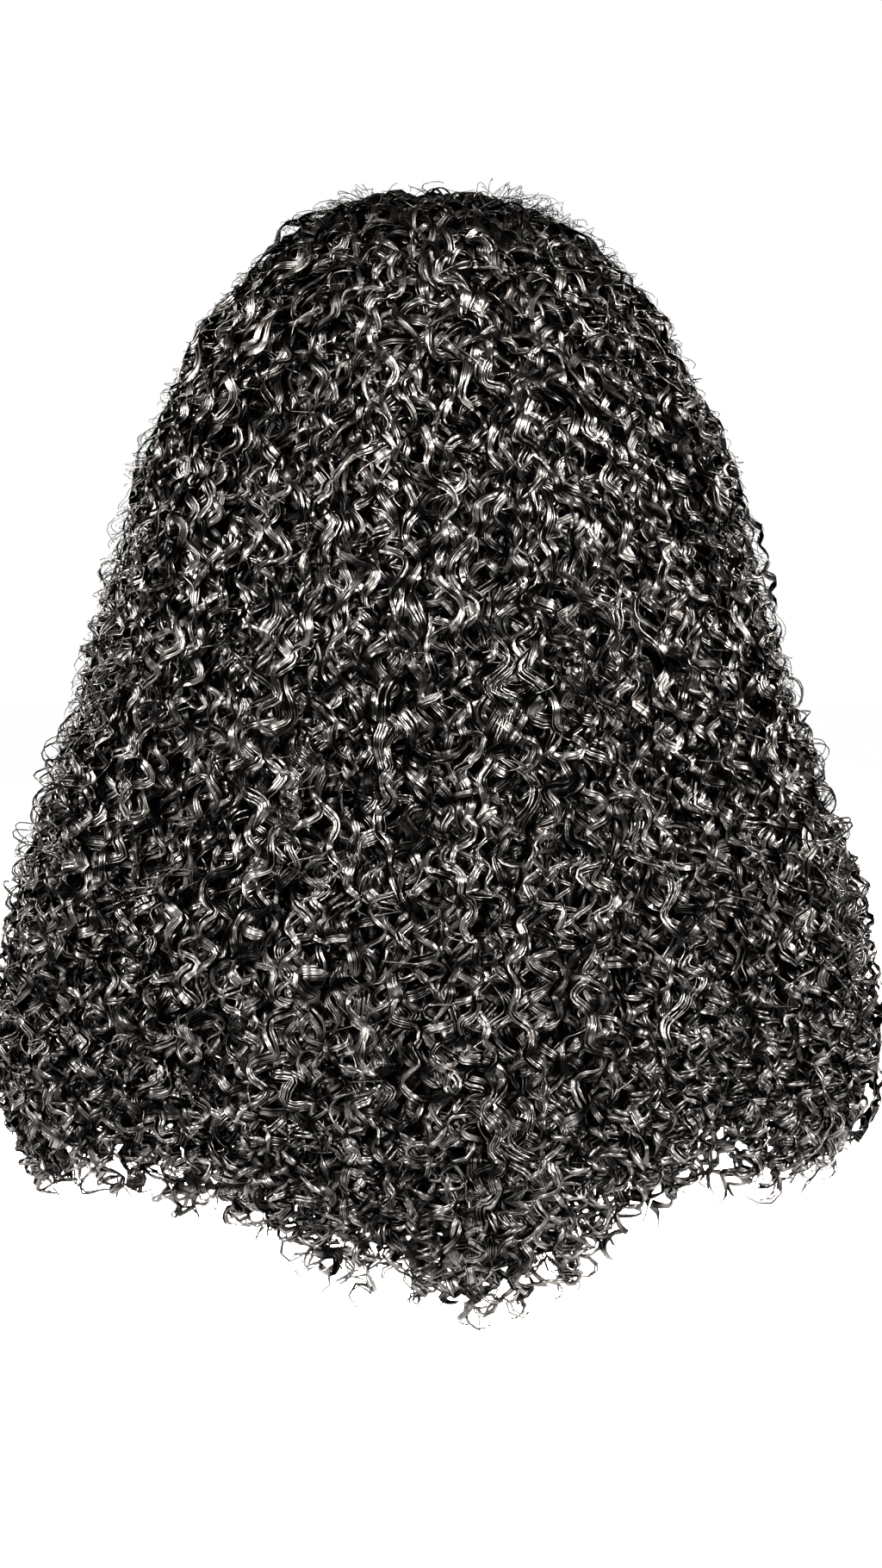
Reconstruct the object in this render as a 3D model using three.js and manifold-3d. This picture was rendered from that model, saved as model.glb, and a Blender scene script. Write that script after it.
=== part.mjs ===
// A curly half wig: a net cap for the back of the head, its edge band and combs, and five rows of hair.
// Millimetres, +Z up, +Y the way the wearer faces. The origin is where the crown of the head meets the cap.
import * as THREE from "three";
import { LoftGeometry } from "three/addons/geometries/LoftGeometry.js";
import { mergeVertices } from "three/addons/utils/BufferGeometryUtils.js";
import Module from "manifold-3d";

const wasm = await Module();
wasm.setup();

const { clamp, degToRad, lerp, smoothstep } = THREE.MathUtils;

// Head form that the cap is blocked on, as the half axes of an ellipsoid whose top is the origin.
const HEAD = { halfWidth: 78, halfDepth: 98, height: 112 };

// Cap: angles in degrees, measured from the cap's pole, which leans back from the vertical.
const CAP = { wall: 2, poleLean: 49, netRim: 70, bandRim: 76, columns: 36, netRows: 6 };
const BAND = { extraInside: 1 };
const SEAT_GAP = 0.3;

// Combs: where each one sits round the cap (0 is the front, 180 the nape), and the size of one comb.
const COMBS = [
  { name: "comb_front", around: 0 },
  { name: "comb_left", around: -96 },
  { name: "comb_right", around: 96 },
  { name: "comb_nape", around: 180 },
];
const COMB = { width: 42, spine: 5, thickness: 2, teeth: 7 };
const TOOTH = { length: 20, thickness: 1.4, rootWidth: 2.2, tipWidth: 1 };
const COMB_WALL_GAP = 1.1;
const COMB_RIM = 68.5;

// Sections of the hair from the crown to the tips: its outer face, and the hollow inside it for the head,
// neck and shoulders. On the head the hollow is the cap itself.
const SECTIONS = [
  { z: 26, halfWidth: 0, back: 0, front: 0, hollowZ: 0, onHead: true },
  { z: 19, halfWidth: 42, back: 42, front: 40, hollowZ: -4, onHead: true },
  { z: 0, halfWidth: 74, back: 75, front: 62, hollowZ: -18, onHead: true },
  { z: -36, halfWidth: 105, back: 106, front: 78, hollowZ: -45, onHead: true },
  { z: -75, halfWidth: 127, back: 130, front: 92, hollowZ: -80, onHead: true },
  { z: -120, halfWidth: 147, back: 147, front: 96, hollowZ: -122, onHead: true },
  { z: -165, halfWidth: 158, back: 155, front: 90, hollowZ: -158, onHead: true },
  { z: -215, halfWidth: 171, back: 159, front: 88, hollowZ: -205, hollowWidth: 94, hollowBack: 98 },
  { z: -265, halfWidth: 186, back: 161, front: 92, hollowZ: -262, hollowWidth: 124, hollowBack: 106 },
  { z: -312, halfWidth: 203, back: 164, front: 100, hollowZ: -312, hollowWidth: 152, hollowBack: 113 },
  { z: -375, halfWidth: 211, back: 167, front: 104, hollowZ: -375, hollowWidth: 171, hollowBack: 122 },
  { z: -425, halfWidth: 207, back: 166, front: 102, hollowZ: -425, hollowWidth: 172, hollowBack: 126 },
  { z: -470, halfWidth: 188, back: 156, front: 92, hollowZ: -466, hollowWidth: 160, hollowBack: 122 },
  { z: -515, halfWidth: 170, back: 142, front: 84, hollowZ: -508, hollowWidth: 150, hollowBack: 116 },
];
const HOLLOW_FRONT = 66;
const LAST_SECTION = SECTIONS.length - 1;

// Height of the lock tips round the hem, by azimuth from the back, positive towards +X.
const HEM = [
  { azimuth: -180, z: -455 },
  { azimuth: -75, z: -460 },
  { azimuth: -44, z: -446 },
  { azimuth: -17, z: -482 },
  { azimuth: 12, z: -508 },
  { azimuth: 32, z: -455 },
  { azimuth: 64, z: -450 },
  { azimuth: 180, z: -458 },
];

// The face opening: the hair reaches the hem as far as sideAzimuth, and rises from there to the front rim.
const OPENING = { sideAzimuth: 104, topAzimuth: 142, topSection: 1.75 };

// Weft rows from the inside out. The root is a row on the cap, and the hem is as wide as the row falls.
const WEFTS = [
  { name: "weft_nape", rootElevation: -24, rootSpread: 25, hemSpread: 60, locks: 5, columns: 8 },
  { name: "weft_lower", rootElevation: -4, rootSpread: 50, hemSpread: 76, locks: 7, columns: 10 },
  { name: "weft_middle", rootElevation: 18, rootSpread: 72, hemSpread: 88, locks: 8, columns: 12 },
  { name: "weft_upper", rootElevation: 42, rootSpread: 90, hemSpread: 96, locks: 9, columns: 15 },
];
const CROWN = { name: "weft_crown", locks: 20, columns: 25 };
const ROW = { sideLift: 4, shareLead: 1.2, shareRamp: 3, rootRamp: 0.8, layerGap: 3 };

// Locks: the share of a row's depth that they stand up from its backing, and the sweep of one lock.
const LOCK = { rise: 0.32, overlap: 0.52, sway: 0.22, waves: 3, startTaper: 0.1, tipTaper: 0.24 };
const LOCK_INSET = { inner: 2.5, crown: 0.5 };
const LOCK_HEM = { shellAboveTips: 30, lengthSpread: 20 };
const LOCK_START = { crown: 0.24, inner: 0.7, settle: 0.14, sunk: 1.5, shortest: 6 };
const LOCK_SIDES = 4;
const GOLDEN = 0.618034;

const MATERIALS = {
  hair: new THREE.MeshStandardMaterial({ color: 0x17130f, roughness: 0.4, metalness: 0 }),
  net: new THREE.MeshStandardMaterial({ color: 0x121110, roughness: 0.85, metalness: 0 }),
  band: new THREE.MeshStandardMaterial({ color: 0x0d0c0c, roughness: 0.8, metalness: 0 }),
  comb: new THREE.MeshStandardMaterial({ color: 0x1b1714, roughness: 0.3, metalness: 0 }),
};

// A closed geometry as a solid that faces out.
function solidOf(geometry) {
  const bare = new THREE.BufferGeometry()
    .setAttribute("position", geometry.attributes.position)
    .setIndex(geometry.index);
  const merged = mergeVertices(bare, 1e-3);
  const corners = merged.index.array;
  const kept = [];
  for (let i = 0; i < corners.length; i += 3) {
    const [a, b, c] = corners.slice(i, i + 3);
    if (a !== b && b !== c && c !== a) kept.push(a, b, c);
  }
  const make = (triangles) =>
    new wasm.Manifold(
      new wasm.Mesh({
        numProp: 3,
        vertProperties: merged.attributes.position.array,
        triVerts: new Uint32Array(triangles),
      }),
    );
  const solid = make(kept);
  return solid.volume() > 0 ? solid : make(kept.reverse());
}

// The one outer body of a solid, with the pockets closed off between its locks filled in.
function outerBody(solid) {
  const larger = (a, b) => (b.volume() > a.volume() ? b : a);
  return solid.decompose().reduce(larger);
}

// A solid as a named mesh.
function meshOf(name, solid, material) {
  const { vertProperties, triVerts } = solid.getMesh();
  const geometry = new THREE.BufferGeometry()
    .setAttribute("position", new THREE.BufferAttribute(vertProperties, 3))
    .setIndex(new THREE.BufferAttribute(triVerts, 1));
  geometry.computeVertexNormals();
  const mesh = new THREE.Mesh(geometry, material);
  mesh.name = name;
  return mesh;
}

// A point of the head form: degrees round the cap's pole, degrees away from it, and height above the form.
function headPoint(around, fromPole, lift) {
  const lean = degToRad(CAP.poleLean);
  const pole = new THREE.Vector3(0, -Math.sin(lean), Math.cos(lean));
  const forward = new THREE.Vector3(0, Math.cos(lean), Math.sin(lean));
  const side = new THREE.Vector3(1, 0, 0);
  const reach = Math.sin(degToRad(fromPole));
  const way = pole
    .multiplyScalar(Math.cos(degToRad(fromPole)))
    .addScaledVector(forward, reach * Math.cos(degToRad(around)))
    .addScaledVector(side, reach * Math.sin(degToRad(around)));
  return new THREE.Vector3(
    way.x * (HEAD.halfWidth + lift),
    way.y * (HEAD.halfDepth + lift),
    way.z * (HEAD.height + lift) - HEAD.height,
  );
}

// A wall round the whole head form, through a list of angles from the pole and between two heights.
function headWall(angles, inside, outside) {
  const sections = [];
  for (let column = 0; column <= CAP.columns; column++) {
    const around = ((column % CAP.columns) / CAP.columns) * 360;
    const outer = angles.map((fromPole) => headPoint(around, fromPole, outside));
    const inner = angles.map((fromPole) => headPoint(around, fromPole, inside));
    sections.push([...outer, ...inner.reverse()]);
  }
  return solidOf(new LoftGeometry(sections));
}

// A box bent on to the inside of the cap: widths in millimetres across it, angles from the pole along it.
function bentBar(around, widths, angles, thickness, steps) {
  const geometry = new THREE.BoxGeometry(1, 1, thickness, steps, 1, 1);
  const place = geometry.attributes.position;
  for (let i = 0; i < place.count; i++) {
    const along = place.getY(i) + 0.5;
    const fromPole = lerp(angles.root, angles.tip, along);
    const girth = headPoint(around + 1, fromPole, 0).distanceTo(headPoint(around, fromPole, 0));
    const across = (place.getX(i) * lerp(widths.root, widths.tip, along)) / girth;
    const lift = place.getZ(i) - COMB.thickness / 2 - COMB_WALL_GAP;
    const point = headPoint(around + across, fromPole, lift);
    place.setXYZ(i, point.x, point.y, point.z);
  }
  return solidOf(geometry);
}

// One comb: a spine along the rim, with teeth that point up into the cap.
function comb(around) {
  const perDegree = headPoint(around, COMB_RIM, 0).distanceTo(headPoint(around, COMB_RIM - 1, 0));
  const spineTop = COMB_RIM - COMB.spine / perDegree;
  const spineAngles = { root: COMB_RIM, tip: spineTop };
  const toothAngles = { root: (COMB_RIM + spineTop) / 2, tip: spineTop - TOOTH.length / perDegree };
  const toothWidths = { root: TOOTH.rootWidth, tip: TOOTH.tipWidth };
  const girth = headPoint(around + 1, COMB_RIM, 0).distanceTo(headPoint(around, COMB_RIM, 0));
  let solid = bentBar(around, { root: COMB.width, tip: COMB.width }, spineAngles, COMB.thickness, 8);
  for (let tooth = 0; tooth < COMB.teeth; tooth++) {
    const across = (tooth / (COMB.teeth - 1) - 0.5) * (COMB.width - 2 * TOOTH.rootWidth);
    solid = solid.add(bentBar(around + across / girth, toothWidths, toothAngles, TOOTH.thickness, 1));
  }
  return solid;
}

// The hollow's half axes at one section: the cap's outer face on the head, and the table's sizes below it.
function hollowOf(section) {
  const lift = CAP.wall + SEAT_GAP;
  if (!section.onHead) {
    const { hollowZ: z, hollowWidth: halfWidth, hollowBack: back } = section;
    return { z, halfWidth, back, front: HOLLOW_FRONT };
  }
  const sine = clamp((section.hollowZ + HEAD.height) / HEAD.height, -1, 1);
  const level = Math.sqrt(1 - sine * sine);
  return {
    z: sine * (HEAD.height + lift) - HEAD.height,
    halfWidth: level * (HEAD.halfWidth + lift),
    back: level * (HEAD.halfDepth + lift),
    front: level * (HEAD.halfDepth + lift),
  };
}
const HOLLOWS = SECTIONS.map(hollowOf);

// A table's row between two of its rows.
function rowBetween(table, place) {
  const low = Math.min(Math.floor(place), LAST_SECTION - 1);
  const mix = (key) => lerp(table[low][key], table[low + 1][key], place - low);
  return { z: mix("z"), halfWidth: mix("halfWidth"), back: mix("back"), front: mix("front") };
}

// A point of one section's ring, by azimuth from the back.
function ringPoint(row, azimuth) {
  const turn = degToRad(azimuth);
  const depth = Math.abs(azimuth) <= 90 ? row.back : row.front;
  return new THREE.Vector3(row.halfWidth * Math.sin(turn), -depth * Math.cos(turn), row.z);
}

// A point in the hair: share 0 is the hollow's face and 1 the outer face, and inset moves it inwards.
function hairPoint(azimuth, place, share, inset) {
  const inner = ringPoint(rowBetween(HOLLOWS, place), azimuth);
  const outer = ringPoint(rowBetween(SECTIONS, place), azimuth);
  const depth = outer.distanceTo(inner);
  return inner.lerp(outer, clamp(share - inset / depth, 0, 1));
}

// Depth of the hair at one place, from the hollow to the outer face.
function hairDepth(azimuth, place) {
  const inner = ringPoint(rowBetween(HOLLOWS, place), azimuth);
  return inner.distanceTo(ringPoint(rowBetween(SECTIONS, place), azimuth));
}

// The section place whose column in a table has a given height.
function placeAt(table, z) {
  const low = clamp(table.findIndex((row) => row.z < z) - 1, 0, LAST_SECTION - 1);
  const found = table[low + 1].z < z ? low : LAST_SECTION - 1;
  return found + (table[found].z - z) / (table[found].z - table[found + 1].z);
}

// The section place of a weft's root row on the cap.
function rootPlace(weft) {
  const sine = Math.sin(degToRad(weft.rootElevation));
  return placeAt(HOLLOWS, sine * (HEAD.height + CAP.wall + SEAT_GAP) - HEAD.height);
}

// The part of the hair's depth that lies below the top of a row, counting rows from the inside.
function shareBelow(rows, place) {
  const lead = (weft) => clamp((place - rootPlace(weft) + ROW.shareLead) / ROW.shareRamp, 0, 1);
  const total = (list) => list.reduce((sum, weft) => sum + lead(weft), 0);
  const below = total(WEFTS.slice(0, rows));
  return rows > WEFTS.length ? 1 : below / (total(WEFTS) + 1);
}

// Height of the lock tips at an azimuth, and the section place that it means.
function tipPlace(azimuth) {
  const next = clamp(HEM.findIndex((row) => row.azimuth > azimuth), 1, HEM.length - 1);
  const [before, after] = [HEM[next - 1], HEM[next]];
  const along = (azimuth - before.azimuth) / (after.azimuth - before.azimuth);
  const hem = placeAt(SECTIONS, lerp(before.z, after.z, clamp(along, 0, 1)));
  const rise = smoothstep(Math.abs(azimuth), OPENING.sideAzimuth, OPENING.topAzimuth);
  return lerp(hem, OPENING.topSection, rise);
}

// How far, in section places, a length in millimetres reaches near the hem.
const HEM_PITCH = SECTIONS[LAST_SECTION - 2].z - SECTIONS[LAST_SECTION - 1].z;
const placesOf = (length) => length / HEM_PITCH;

// Section places from one end to the other, through every section of the table in between.
function placesBetween(from, to) {
  const places = [from];
  for (let section = Math.ceil(from + 0.2); section < to - 0.2; section++) places.push(section);
  return [...places, to];
}

// How far a row's backing drops under its locks: not at all above their start, and fully a little below it.
function backingDrop(place, tip, start) {
  return LOCK.rise * smoothstep(place, tip * start, tip * (start + LOCK_START.settle));
}

// One lock: a flattened tapering tube swept along a route, which gives azimuth and place from 0 to 1.
function lock(route, layer, inset, halfWidth, steps) {
  const sections = [];
  for (let step = 0; step <= steps; step++) {
    const along = step / steps;
    const { azimuth, place } = route(along);
    const taper = Math.min(1, LOCK.startTaper + along * 5, LOCK.tipTaper + (1 - along) * 3);
    const sunk = ROW.layerGap / 2 + inset + (along === 0 ? LOCK_START.sunk : 0);
    const [low, high] = layer(place);
    const rise = (high - low) * hairDepth(azimuth, place) * LOCK.rise * taper;
    const width = halfWidth(place) * taper;
    const centre = hairPoint(azimuth, place, high, sunk + rise);
    const ahead = hairPoint(azimuth, Math.min(place + 0.05, LAST_SECTION), high, sunk + rise);
    const behind = hairPoint(azimuth, place - 0.05, high, sunk + rise);
    const down = ahead.sub(behind).normalize();
    const across = hairPoint(azimuth + 1, place, high, 0).sub(hairPoint(azimuth - 1, place, high, 0));
    across.addScaledVector(down, -across.dot(down)).normalize();
    const through = new THREE.Vector3().crossVectors(down, across);
    const ring = [];
    for (let side = 0; side < LOCK_SIDES; side++) {
      const turn = (side / LOCK_SIDES) * 2 * Math.PI;
      ring.push(
        centre
          .clone()
          .addScaledVector(across, width * Math.cos(turn))
          .addScaledVector(through, rise * Math.sin(turn)),
      );
    }
    sections.push(ring);
  }
  return solidOf(new LoftGeometry(sections, { capStart: true, capEnd: true }));
}

// A wandering route for one lock, swaying from side to side as it falls.
function lockRoute(index, azimuthAt, from, to, swayAt) {
  const phase = ((index * GOLDEN) % 1) * 2 * Math.PI;
  return (along) => {
    const place = lerp(from, to, along);
    const wave = Math.sin(along * LOCK.waves * 2 * Math.PI + phase) * smoothstep(along, 0, 0.25);
    return { azimuth: azimuthAt(place) + wave * swayAt(place), place };
  };
}

// A row's backing: a curved wall from its root to above its tips, with one ring of points for each column.
function backing(columns, places, azimuthAt, layer, drop, closed) {
  const sections = [];
  for (let column = 0; column <= columns; column++) {
    const across = ((closed ? column % columns : column) / columns) * 2 - 1;
    const outer = [];
    const inner = [];
    for (const place of places(across)) {
      const azimuth = azimuthAt(across, place);
      const [low, high] = layer(place);
      const thickness = (high - low) * hairDepth(azimuth, place);
      const gap = Math.min(ROW.layerGap, thickness / 2) / 2;
      outer.push(hairPoint(azimuth, place, high, gap + thickness * drop(azimuth, place)));
      inner.unshift(hairPoint(azimuth, place, low, low > 0 ? -gap : 0));
    }
    sections.push([...outer, ...inner]);
  }
  return solidOf(new LoftGeometry(sections, { capStart: !closed, capEnd: !closed }));
}

// The net's rows from the pole to its rim, and the room that the whole cap keeps clear of the hair.
const netAngles = Array.from({ length: CAP.netRows + 1 }, (_, row) => (row / CAP.netRows) * CAP.netRim);
const capRoom = headWall([...netAngles, CAP.bandRim], -HEAD.halfWidth / 2, CAP.wall + SEAT_GAP);

// One inner weft: a backing from its root row on the cap, with locks along it that run free past its hem.
function innerWeft(weft, index) {
  const root = rootPlace(weft);
  const rooted = (place) => smoothstep(place, root, root + ROW.rootRamp);
  const layer = (place) => [shareBelow(index, place) * rooted(place), shareBelow(index + 1, place)];
  const spread = (place) => lerp(weft.rootSpread, weft.hemSpread, smoothstep(place, root, LAST_SECTION));
  const covered = HEM.filter(({ azimuth }) => Math.abs(azimuth) < weft.hemSpread);
  const shortest = Math.min(...covered.map(({ azimuth }) => tipPlace(azimuth)));
  const hem = shortest - placesOf(LOCK_HEM.shellAboveTips);
  const places = (across) => placesBetween(root - (ROW.sideLift / HEAD.height) * across * across, hem);
  const drop = (azimuth, place) => backingDrop(place - root, hem - root, LOCK_START.inner);
  const azimuthAt = (across, place) => across * spread(place);
  let solid = backing(weft.columns, places, azimuthAt, layer, drop, false);
  for (let i = 0; i < weft.locks; i++) {
    const across = (((i + 0.5) / weft.locks) * 2 - 1) * 0.94;
    const tip = tipPlace(across * weft.hemSpread) - placesOf(LOCK_HEM.lengthSpread * ((i * GOLDEN) % 1));
    const girth = (place) => degToRad(spread(place)) * rowBetween(SECTIONS, place).back;
    const halfWidth = (place) => (LOCK.overlap * girth(place)) / weft.locks;
    const swayAt = (place) => (LOCK.sway * 2 * spread(place)) / weft.locks;
    const start = lerp(root, hem, LOCK_START.inner);
    const route = lockRoute(i, (place) => across * spread(place), start, tip, swayAt);
    solid = solid.add(lock(route, layer, LOCK_INSET.inner, halfWidth, 3));
  }
  return outerBody(solid.subtract(capRoom));
}

// The crown weft: a bell that opens at the face, with locks wherever it falls free of the head.
function crownWeft() {
  const layer = (place) => [shareBelow(WEFTS.length, place), 1];
  const hem = (azimuth) => {
    const tip = tipPlace(azimuth);
    const hanging = smoothstep(tip, OPENING.topSection, LAST_SECTION - 2);
    return tip - lerp(0.15, placesOf(LOCK_HEM.shellAboveTips), hanging);
  };
  const places = (across) => SECTIONS.map((_, row) => Math.min(row, hem(across * 180)));
  const falls = (tip) => smoothstep(tip, LOCK_START.shortest - 2, LOCK_START.shortest);
  const drop = (azimuth, place) => {
    const tip = tipPlace(azimuth);
    return backingDrop(place, tip, LOCK_START.crown) * falls(tip);
  };
  let solid = backing(CROWN.columns, places, (across) => across * 180, layer, drop, true);
  const strip = 360 / CROWN.locks;
  for (let i = 0; i < CROWN.locks; i++) {
    const azimuth = (i + 0.5) * strip - 180;
    const tip = tipPlace(azimuth);
    if (tip < LOCK_START.shortest) continue;
    const ragged = placesOf(LOCK_HEM.lengthSpread * ((i * GOLDEN) % 1));
    const halfWidth = (place) => LOCK.overlap * degToRad(strip) * rowBetween(SECTIONS, place).halfWidth;
    const start = tip * LOCK_START.crown;
    const route = lockRoute(i, () => azimuth, start, tip - ragged, () => LOCK.sway * strip);
    solid = solid.add(lock(route, layer, LOCK_INSET.crown, halfWidth, Math.round(tip * 0.6)));
  }
  return outerBody(solid.subtract(capRoom));
}

const wig = new THREE.Group();
const net = headWall(netAngles, 0, CAP.wall);
wig.add(meshOf("wig_cap", net, MATERIALS.net));

const bandTop = CAP.netRim + THREE.MathUtils.radToDeg(SEAT_GAP / HEAD.halfWidth);
const band = headWall([bandTop, CAP.bandRim], -BAND.extraInside, CAP.wall);
wig.add(meshOf("edge_band", band, MATERIALS.band));

for (const { name, around } of COMBS) wig.add(meshOf(name, comb(around), MATERIALS.comb));
WEFTS.forEach((weft, index) => wig.add(meshOf(weft.name, innerWeft(weft, index), MATERIALS.hair)));
wig.add(meshOf(CROWN.name, crownWeft(), MATERIALS.hair));

export default wig;
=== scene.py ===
"""Looks of a curly half wig: curled hair on five weft rows, a net cap, its elastic band and its combs."""

import logging
import math
from dataclasses import dataclass, replace
from enum import Enum

import bmesh
import bpy
import numpy as np
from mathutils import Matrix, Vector

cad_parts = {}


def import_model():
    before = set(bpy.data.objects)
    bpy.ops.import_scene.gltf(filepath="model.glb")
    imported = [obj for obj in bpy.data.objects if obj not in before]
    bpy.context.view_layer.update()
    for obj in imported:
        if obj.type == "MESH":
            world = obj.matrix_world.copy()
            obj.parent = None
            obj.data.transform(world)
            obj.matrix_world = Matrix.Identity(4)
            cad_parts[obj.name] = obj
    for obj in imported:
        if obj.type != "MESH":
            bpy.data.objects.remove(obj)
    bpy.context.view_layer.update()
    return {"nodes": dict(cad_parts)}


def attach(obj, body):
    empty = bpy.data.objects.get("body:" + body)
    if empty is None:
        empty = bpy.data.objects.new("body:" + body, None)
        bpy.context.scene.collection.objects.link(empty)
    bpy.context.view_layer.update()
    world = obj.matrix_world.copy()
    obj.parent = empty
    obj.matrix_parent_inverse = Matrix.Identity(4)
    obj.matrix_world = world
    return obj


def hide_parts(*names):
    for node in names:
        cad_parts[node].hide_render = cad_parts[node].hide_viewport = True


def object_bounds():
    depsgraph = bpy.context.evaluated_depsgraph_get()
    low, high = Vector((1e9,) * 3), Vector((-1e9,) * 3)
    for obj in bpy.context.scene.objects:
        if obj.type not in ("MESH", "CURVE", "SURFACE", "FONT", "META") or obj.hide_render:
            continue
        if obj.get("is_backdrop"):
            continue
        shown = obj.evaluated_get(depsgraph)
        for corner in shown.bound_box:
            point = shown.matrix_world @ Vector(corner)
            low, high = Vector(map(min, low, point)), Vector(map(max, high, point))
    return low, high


Array = np.ndarray
Random = np.random.Generator
Material = bpy.types.Material
Piece = bpy.types.Object
Socket = bpy.types.NodeSocket
Colour = tuple[float, float, float]
Limits = tuple[float, float]

LOG = logging.getLogger("half_wig")
MM = 0.001
FULL_TURN = 2.0 * math.pi
ANY_PHASE = (0.0, 6.3)
ROOT = "root"
HAIR_SLOT = "hair"
STRAND_MAP = "Strand"
BAKE_MAP = "OFBake"
MAP_COLUMNS = 24
WALL_MAP_PER_METRE = 10.0
SEED = 8159


def mm(low: float, high: float) -> Limits:
    """Two limits given in millimetres, in metres."""
    return low * MM, high * MM


def smooth(x: Array, low: float, high: float) -> Array:
    """Rises smoothly from 0 at low to 1 at high."""
    t = np.clip((x - low) / (high - low), 0.0, 1.0)
    return t * t * (3.0 - 2.0 * t)


def grown(x: Array, limits: Limits, least: float) -> Array:
    """Rises smoothly from a least share to 1 between two limits."""
    return least + (1.0 - least) * smooth(x, *limits)


def unit(v: Array) -> Array:
    """Vectors along the last axis, scaled to length 1."""
    return v / np.maximum(np.linalg.norm(v, axis=-1, keepdims=True), 1e-12)


def square_to(v: Array, axis: Array) -> Array:
    """The unit part of v that is at right angles to a unit axis."""
    return unit(v - axis * np.sum(v * axis, axis=-1, keepdims=True))


def step_lengths(line: Array) -> Array:
    """The lengths of the steps from point to point along the first axis."""
    return np.linalg.norm(np.diff(line, axis=0), axis=-1)


def between(rng: Random, limits: Limits, shape: int | tuple[int, ...]) -> Array:
    """Even random numbers between two limits."""
    return rng.uniform(limits[0], limits[1], shape)


class Value:
    """A shader's number: an output socket whose arithmetic adds math nodes."""

    def __init__(self, tree: "ShaderTree", socket: Socket) -> None:
        """Keeps the tree and the socket."""
        self.tree = tree
        self.socket = socket

    def _math(self, operation: str, first: object, second: object = 0.0, clamp: bool = False) -> "Value":
        """Adds one math node.

        Args:
            operation: Blender's name for the operation.
            first: A value or a plain number.
            second: A value or a plain number.
            clamp: Whether the result is kept between 0 and 1.

        Returns:
            The node's output.
        """
        settings = {"operation": operation, "use_clamp": clamp}
        made = self.tree.node("ShaderNodeMath", settings, {0: first, 1: second})
        return Value(self.tree, made.outputs[0])

    def __add__(self, other: object) -> "Value":
        """It plus another."""
        return self._math("ADD", self, other)

    def __radd__(self, other: object) -> "Value":
        """Another plus it."""
        return self._math("ADD", other, self)

    def __sub__(self, other: object) -> "Value":
        """It less another."""
        return self._math("SUBTRACT", self, other)

    def __rsub__(self, other: object) -> "Value":
        """Another less it."""
        return self._math("SUBTRACT", other, self)

    def __mul__(self, other: object) -> "Value":
        """It times another."""
        return self._math("MULTIPLY", self, other)

    def __rmul__(self, other: object) -> "Value":
        """Another times it."""
        return self._math("MULTIPLY", other, self)

    def __truediv__(self, other: object) -> "Value":
        """It over another."""
        return self._math("DIVIDE", self, other)

    def __rtruediv__(self, other: object) -> "Value":
        """Another over it."""
        return self._math("DIVIDE", other, self)

    def sine(self) -> "Value":
        """Its sine."""
        return self._math("SINE", self)

    def size(self) -> "Value":
        """Its absolute value."""
        return self._math("ABSOLUTE", self)

    def power(self, exponent: float) -> "Value":
        """It to a power."""
        return self._math("POWER", self, exponent)

    def squared(self) -> "Value":
        """Its square, for negative numbers too."""
        return self * self

    def clipped(self) -> "Value":
        """It kept between 0 and 1."""
        return self._math("ADD", self, clamp=True)

    def floor(self) -> "Value":
        """The whole number below it."""
        return self._math("FLOOR", self)

    def most(self, other: object) -> "Value":
        """The larger of it and another."""
        return self._math("MAXIMUM", self, other)


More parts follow.
